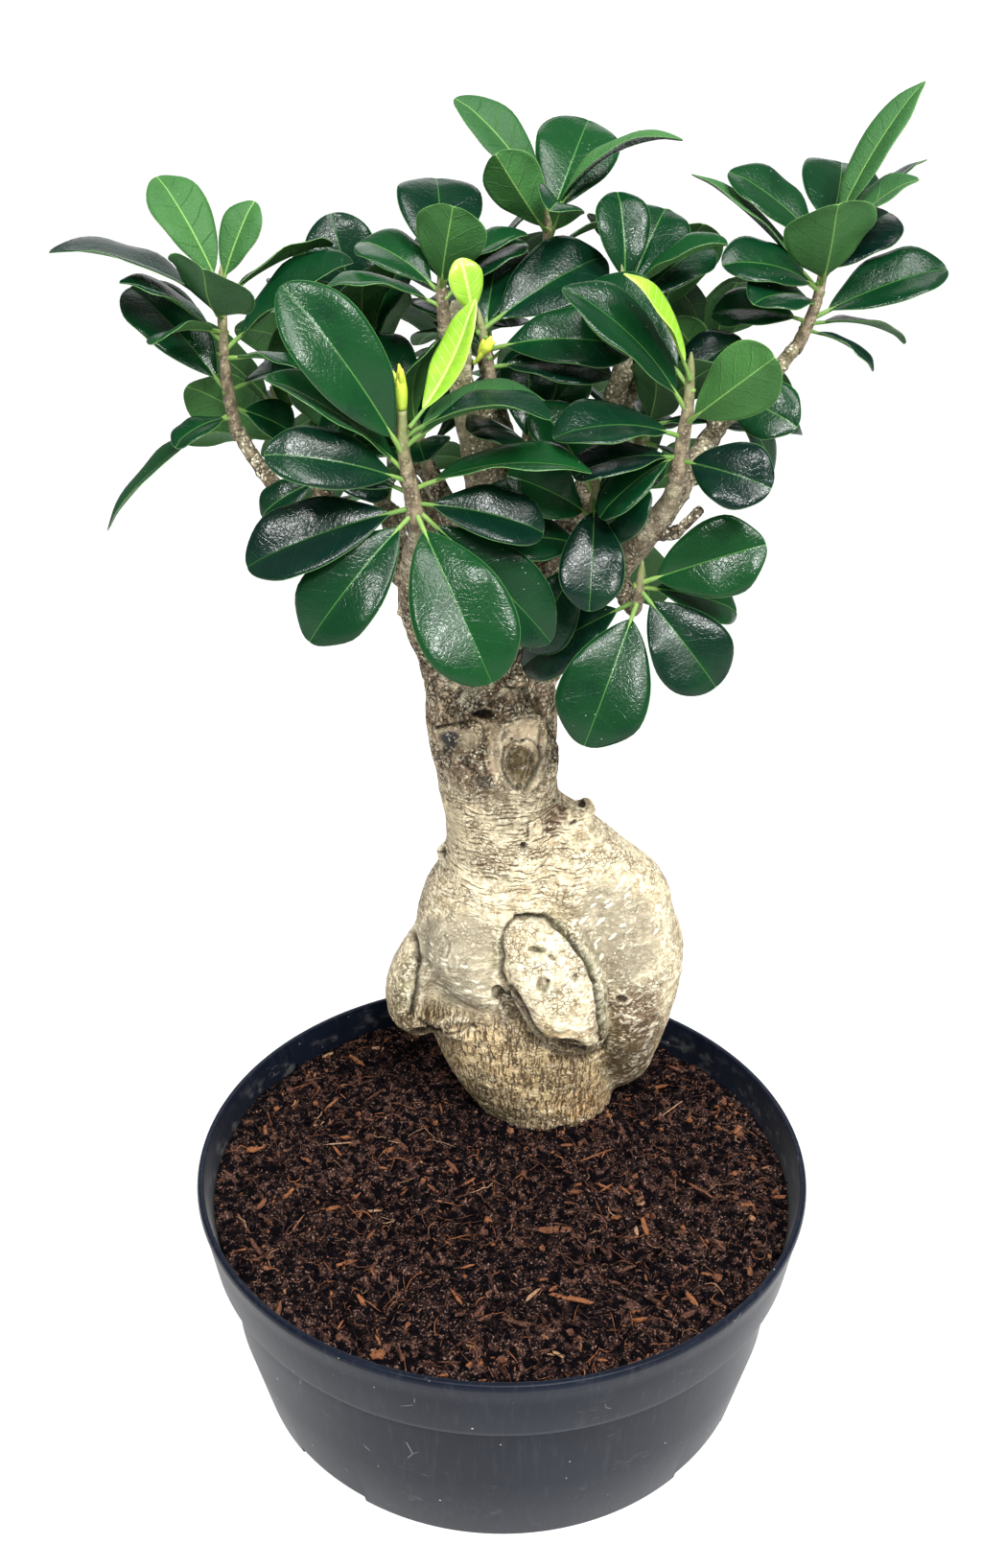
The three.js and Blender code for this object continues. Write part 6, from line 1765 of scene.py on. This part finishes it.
def addLeaf(heap, leaf, seed, finishes=(0, 1, 2)):
    # a folded, wavy blade with a rib, and its stalk
    look = leafLook
    stalk = growth["stalkShare"]
    parts = np.array(look["parts"], float)
    blade = 0.5 - 0.499 * np.cos(math.pi * np.linspace(0.04, 1, look["rows"]) ** 1.1)
    shares = stalk + (1 - stalk) * blade
    rib, normal = ribAndNormal(leaf, shares)
    pinch = 0.06 + 0.26 * chance(seed + 0.41)  # how far its tip is drawn out
    half = halfWidth(leaf, blade) * (1 - pinch * smooth(blade, 0.7, 1) ** 1.5) + 0.12
    fold = math.radians(leaf["fold"])
    bend = look["soften"]
    lift = (np.sqrt(parts**2 + bend**2) - bend) / (math.sqrt(1 + bend**2) - bend)
    across = np.outer(half, parts)
    phase = 6.28 * chance(seed + 0.17)
    wavy = look["wave"] * np.sin(blade * 11 + phase)[:, None] * parts**2 * np.sign(parts + 1e-9)
    wavy += 0.5 * look["wave"] * np.sin(blade * 17 + 2 * phase)[:, None] * parts**2
    wavy *= (np.sin(math.pi * blade) ** 0.5)[:, None] * min(1, leaf["width"] / 26)
    droop = -look["curl"] * parts**6 * (half / half.max())[:, None] - (0.9 * smooth(blade, 0.84, 1))[:, None]
    puff = 0.28 * np.sin(math.pi * np.abs(parts)) * (half / half.max())[:, None]
    raised = np.outer(half, lift) * math.sin(fold) + wavy + droop + puff
    groove = np.exp(-((across / 0.75) ** 2)) * (1 - 0.75 * blade)[:, None]
    outward = (across * math.cos(fold))[..., None] * leaf["side"]
    middle = rib[:, None] + outward + raised[..., None] * normal[:, None]
    thick = look["edgeThick"] + (look["thick"] - look["edgeThick"]) * (1 - parts**2)
    thick = np.outer(np.clip(1.15 - 0.5 * blade, 0, 1), thick)
    over = middle + (0.5 * thick - look["groove"] * groove)[..., None] * normal[:, None]
    under = middle - (0.5 * thick + look["ribRise"] * groove)[..., None] * normal[:, None]
    rows, columns = across.shape
    edge = half[:, None] - np.abs(across)
    end = np.broadcast_to(((1 - blade) * leaf["length"] * 0.86)[:, None], across.shape)
    values = np.stack([across, np.broadcast_to((shares * leaf["length"])[:, None], across.shape),
                       np.minimum(edge, end)], axis=2).reshape(-1, 3)
    points = np.vstack([over.reshape(-1, 3), under.reshape(-1, 3)])
    index = np.arange(rows * columns).reshape(rows, columns)
    low, high = index[:-1, :-1], index[1:, :-1]
    quads = np.stack([low, low + 1, high + 1, high], axis=2).reshape(-1, 4)
    flip = quads[:, ::-1] + rows * columns
    rim = np.concatenate([index[0], index[1:, -1], index[-1, -2::-1], index[-2:0:-1, 0]])
    after = np.roll(rim, -1)
    wall = np.stack([rim, rim + rows * columns, after + rows * columns, after], axis=1)
    tint = chance(seed)
    both = np.vstack([values, values])
    start = heap.count
    heap.add(points, quads.tolist(), finishes[0], blade=both, tint=tint)
    heap.faces += [tuple(corner + start for corner in face) for face in np.vstack([flip, wall]).tolist()]
    heap.finishes += [finishes[1]] * (len(flip) + len(wall))
    # its stalk, from inside the stem to under the blade
    courses = np.array([0, 0.05, 0.1, stalk, stalk + 0.05, stalk + 0.12])
    spine, sideways = ribAndNormal(leaf, courses)
    begin = leaf["root"] - leaf["along"] * (growth["rootDepth"] * (0.2 if leaf.get("loose") else 0.9))
    spine = np.vstack([begin, spine - sideways * np.array([0, 0, 0.1, 0.25, 0.45, 0.5])[:, None]])
    radii = look["stalk"] * np.array([1.25, 1.2, 1, 0.95, 0.9, 0.6, 0.25])
    radii *= min(1.1, 0.55 + leaf["width"] / 50)
    heap.add(*tube(np.column_stack([spine, radii]), 9, 0.4), finishes[2], tint=tint, kind=0.25)


def addStem(heap, stem, finish):
    # a leafy stem, drawn out to a point unless a bud stands on it
    places = [stem["places"][0] - stem["heading"] * 1.6, *stem["places"]]
    thick = stem["thick"]
    radii = [thick * 1.02, *np.linspace(thick, growth["stemTop"], len(stem["places"]))]
    if sprays[stem["name"]].get("tip") != "flat":
        way = unit(places[-1] - places[-2])
        places += [places[-1] + way * growth["stemTip"] * 0.5, places[-1] + way * growth["stemTip"] * 0.93]
        radii += [growth["stemTop"] * 0.72, 0.3]
    run = spline(np.column_stack([places, radii]), 7)
    # rings where leaves have dropped
    length = lengthSoFar(run)
    run[:, 3] *= 1 + 0.1 * np.maximum(0, np.cos(length * 1.35)) ** 6
    run[:, 3] = np.maximum(run[:, 3], 0.18)
    points, faces = tube(run, 12, 0.4)
    age = np.concatenate([[1], np.repeat(1 - 0.38 * (length / length[-1]) ** 2, 12), [0.6]])
    heap.add(points, faces, finish, tint=chance(len(stem["name"]) * 3.1), kind=age)


def leafFinish(name, upper):
    # the blade: glossy, crinkled and dark above, paler and matter below, with its rib and side veins
    leaf = Finish(name, Specular_IOR_Level=0.28 if upper else 0.2)
    tones = leafLook["upper" if upper else "under"]
    light, deep = tones["light"], tones["deep"]
    across, along, edge = leaf.parts(leaf.attribute("blade", "Vector"))
    tint = leaf.attribute("tint")
    away = across.size()
    rib = (away - (0.30 - along * 0.004)).between(0.16, -0.12)
    warp = leaf.grainOf(7, 2) - 0.5
    order = (along - away * 0.62 + warp * 3.6 + tint * 5.0) / leafLook["veinGap"]
    vein = (order.part() - 0.5).size().between(0.05, 0.0) * edge.between(0.8, 3.0) * away.between(0.4, 1.2)
    shown = leaf.grainOf(11, 2).between(0.4, 0.6)
    crinkle = (leaf.noise(leaf.stretched(1.8, 1.8, 1.8), 3, 1.2) - 0.5).size()
    net = leaf.cells(leaf.stretched(1.7, 1.7, 1.7), "DISTANCE_TO_EDGE").between(0.2, 0.0)
    blotch = leaf.grainOf(15, 3)
    fine = leaf.grainOf(1.2, 3)
    dust = leaf.cells(leaf.stretched(3.1, 3.1, 3.1)).between(0.09, 0.04)
    dust = dust * leaf.grainOf(20).between(0.52, 0.62)
    colour = leaf.layered(
        deep,
        (tint.between(0.05, 0.6), tones["mid"]),
        (tint.between(0.72, 1.0) * 0.5, light),
        (blotch.between(0.5, 0.8) * 0.25, light),
        (blotch.between(0.45, 0.25) * 0.5, deep),
        (away.between(3.5, 0.5) * 0.1, light),
        (vein * shown * (0.15 if upper else 0.6), tones["vein"]),
        (rib * (0.4 + tint * 0.5 if upper else tint * 0.2 + 0.75), tones["rib"]),
        (edge.between(0.34, 0.1) * 0.75, tones["edge"]),
        (dust * (0.5 if upper else 0.2), leafLook["dust"]),
    )
    height = blotch * 2.4 - vein * (0.1 if upper else -0.9) + fine * 0.04
    height = height + crinkle * 0.2 - net * (0.1 if upper else -0.22)
    roughness = 0.15 + fine * 0.05 + blotch * 0.1 if upper else 0.48 + fine * 0.14
    return leaf.set(Base_Color=colour, Roughness=roughness, Normal=leaf.bump(height, 0.32, 0.9))


def shootFinish():
    # green stalks, and stems that turn brown with age
    shoot = Finish("shootBark", Specular_IOR_Level=0.4)
    tones = leafLook["stem"]
    kind, tint = shoot.attribute("kind"), shoot.attribute("tint")
    fine, mid = shoot.grainOf(0.9, 3), shoot.grainOf(3.2, 4)
    green = shoot.mix(tint, tones["green"], tones["pale"])
    brown = shoot.layered(
        tones["brown"],
        (mid.between(0.38, 0.62), tones["tan"]),
        (fine.between(0.56, 0.68) * 0.7, tones["speck"]),
        (kind.between(0.95, 0.7) * 0.75, tones["olive"]),
    )
    colour = shoot.mix(kind.between(0.35, 0.6), green, brown)
    height = fine * 0.5 + mid * 0.9
    return shoot.set(Base_Color=colour, Roughness=0.5 + fine * 0.2, Normal=shoot.bump(height, 0.35, 0.9))


def youngFinish():
    young = Finish("youngBlade", Specular_IOR_Level=0.5, Coat_Roughness=0.2)
    tones = leafLook["young"]
    across, along, edge = young.parts(young.attribute("blade", "Vector"))
    away = across.size()
    mid = young.grainOf(9, 2)
    order = (along - away * 0.6) / 3.4
    vein = (order.part() - 0.5).size().between(0.08, 0.0) * edge.between(0.3, 1.5)
    colour = young.layered(
        tones["green"],
        (mid.between(0.3, 0.7), tones["light"]),
        (vein * 0.35, tones["vein"]),
        (away.between(0.75, 0.3) * 0.7, tones["rib"]),
        (edge.between(0.5, 0.1) * 0.5, tones["edge"]),
    )
    height = vein * -0.5 + mid * 0.8
    return young.set(Base_Color=colour, Roughness=0.36 + mid * 0.1, Coat_Weight=0.25 + mid * 0.1,
                     Normal=young.bump(height, 0.3, 0.8))


def budFinish():
    bud = Finish("budSheath", Specular_IOR_Level=0.45)
    tones = leafLook["bud"]
    along = bud.parts(bud.attribute("blade", "Vector"))[1]
    fine = bud.grainOf(1.2, 2)
    colour = bud.layered(
        tones["foot"],
        (along, tones["top"]),
        (along.between(0.92, 1.0) * 0.5, tones["tip"]),
        (fine.between(0.45, 0.7) * 0.3, tones["shade"]),
    )
    return bud.set(Base_Color=colour, Roughness=0.4 + fine * 0.15, Normal=bud.bump(fine, 0.2, 0.6))


def budRows(heap, course, sides, bulge, shares):
    # a tube whose colour follows its length
    rows = np.concatenate([[0], np.repeat(shares, sides), [1]])
    heap.add(*tube(course, sides, bulge), 0, blade=np.column_stack([rows * 0, rows, rows * 0]), tint=0.5)


def addBud(heap, stations, seed):
    # overlapping pointed sheaths round the growing tip
    stations = np.array(stations, float)
    run = spline(stations, 5)
    run[:, 3] = np.maximum(run[:, 3], 0.15)
    budRows(heap, run, 14, 0.3, np.linspace(0, 1, len(run)))
    low, high = stations[0, :3], stations[-1, :3]
    way = unit(high - low)
    first = unit(np.cross(way, (0.2, 1, 0.1)))
    second = np.cross(way, first)
    tall = np.linalg.norm(high - low)
    wide = stations[:, 3].max()
    for i in range(4):
        turn = 1.3 + i * 2.4 + seed
        outward = first * math.cos(turn) + second * math.sin(turn)
        begin = low + way * tall * (0.08 + 0.13 * i)
        length = tall * (0.62 - 0.06 * i)
        steps = np.linspace(0, 1, 7)
        radius = 0.2 + wide * 0.42 * np.sin(math.pi * np.clip(steps, 0.02, 0.98)) ** 0.6
        lean = wide * (0.34 + (0.25 + 0.55 * (i > 1)) * steps**2)
        course = begin + np.outer(steps * length, way) + np.outer(lean, outward)
        budRows(heap, np.column_stack([course, radius]), 10, 0.5, steps)


def makeLeaves():
    stems, placed, fresh = placeLeaves()
    finishes = [leafFinish("leafUpper", True), leafFinish("leafUnder", False), shootFinish()]
    for stem in stems:
        heap = Heap(leafLook["values"])
        addStem(heap, stem, 2)
        for i, leaf in enumerate(placed):
            if leaf["owner"] == stem["name"]:
                turned = leaf["order"] in leafLook["turnedUp"].get(stem["name"], ())
                addLeaf(heap, leaf, i * 7.3 + 1, (1, 0, 2) if turned else (0, 1, 2))
        hand(heap.piece("leafySpray"), "foliage_" + stem["name"], ["spray_" + stem["name"]], finishes)
    young = [youngFinish(), youngFinish(), shootFinish()]
    for leaf in fresh:
        heap = Heap(leafLook["values"])
        addLeaf(heap, {**leaf, "loose": True}, 3.3)
        hand(heap.piece("youngLeaf"), "young_" + leaf["owner"], [leaf["owner"]], young)
    sheath = [budFinish()]
    for i, (name, stations) in enumerate(buds.items()):
        heap = Heap(leafLook["values"])
        addBud(heap, stations, i)
        hand(heap.piece("bud"), "sheath_" + name, [name], sheath)
    print(len(placed), "leaves placed on", len(stems), "sprays")


addCamera()
addStage()
addLights()
makePot()
makeSoil()
makeWood()
makeLeaves()
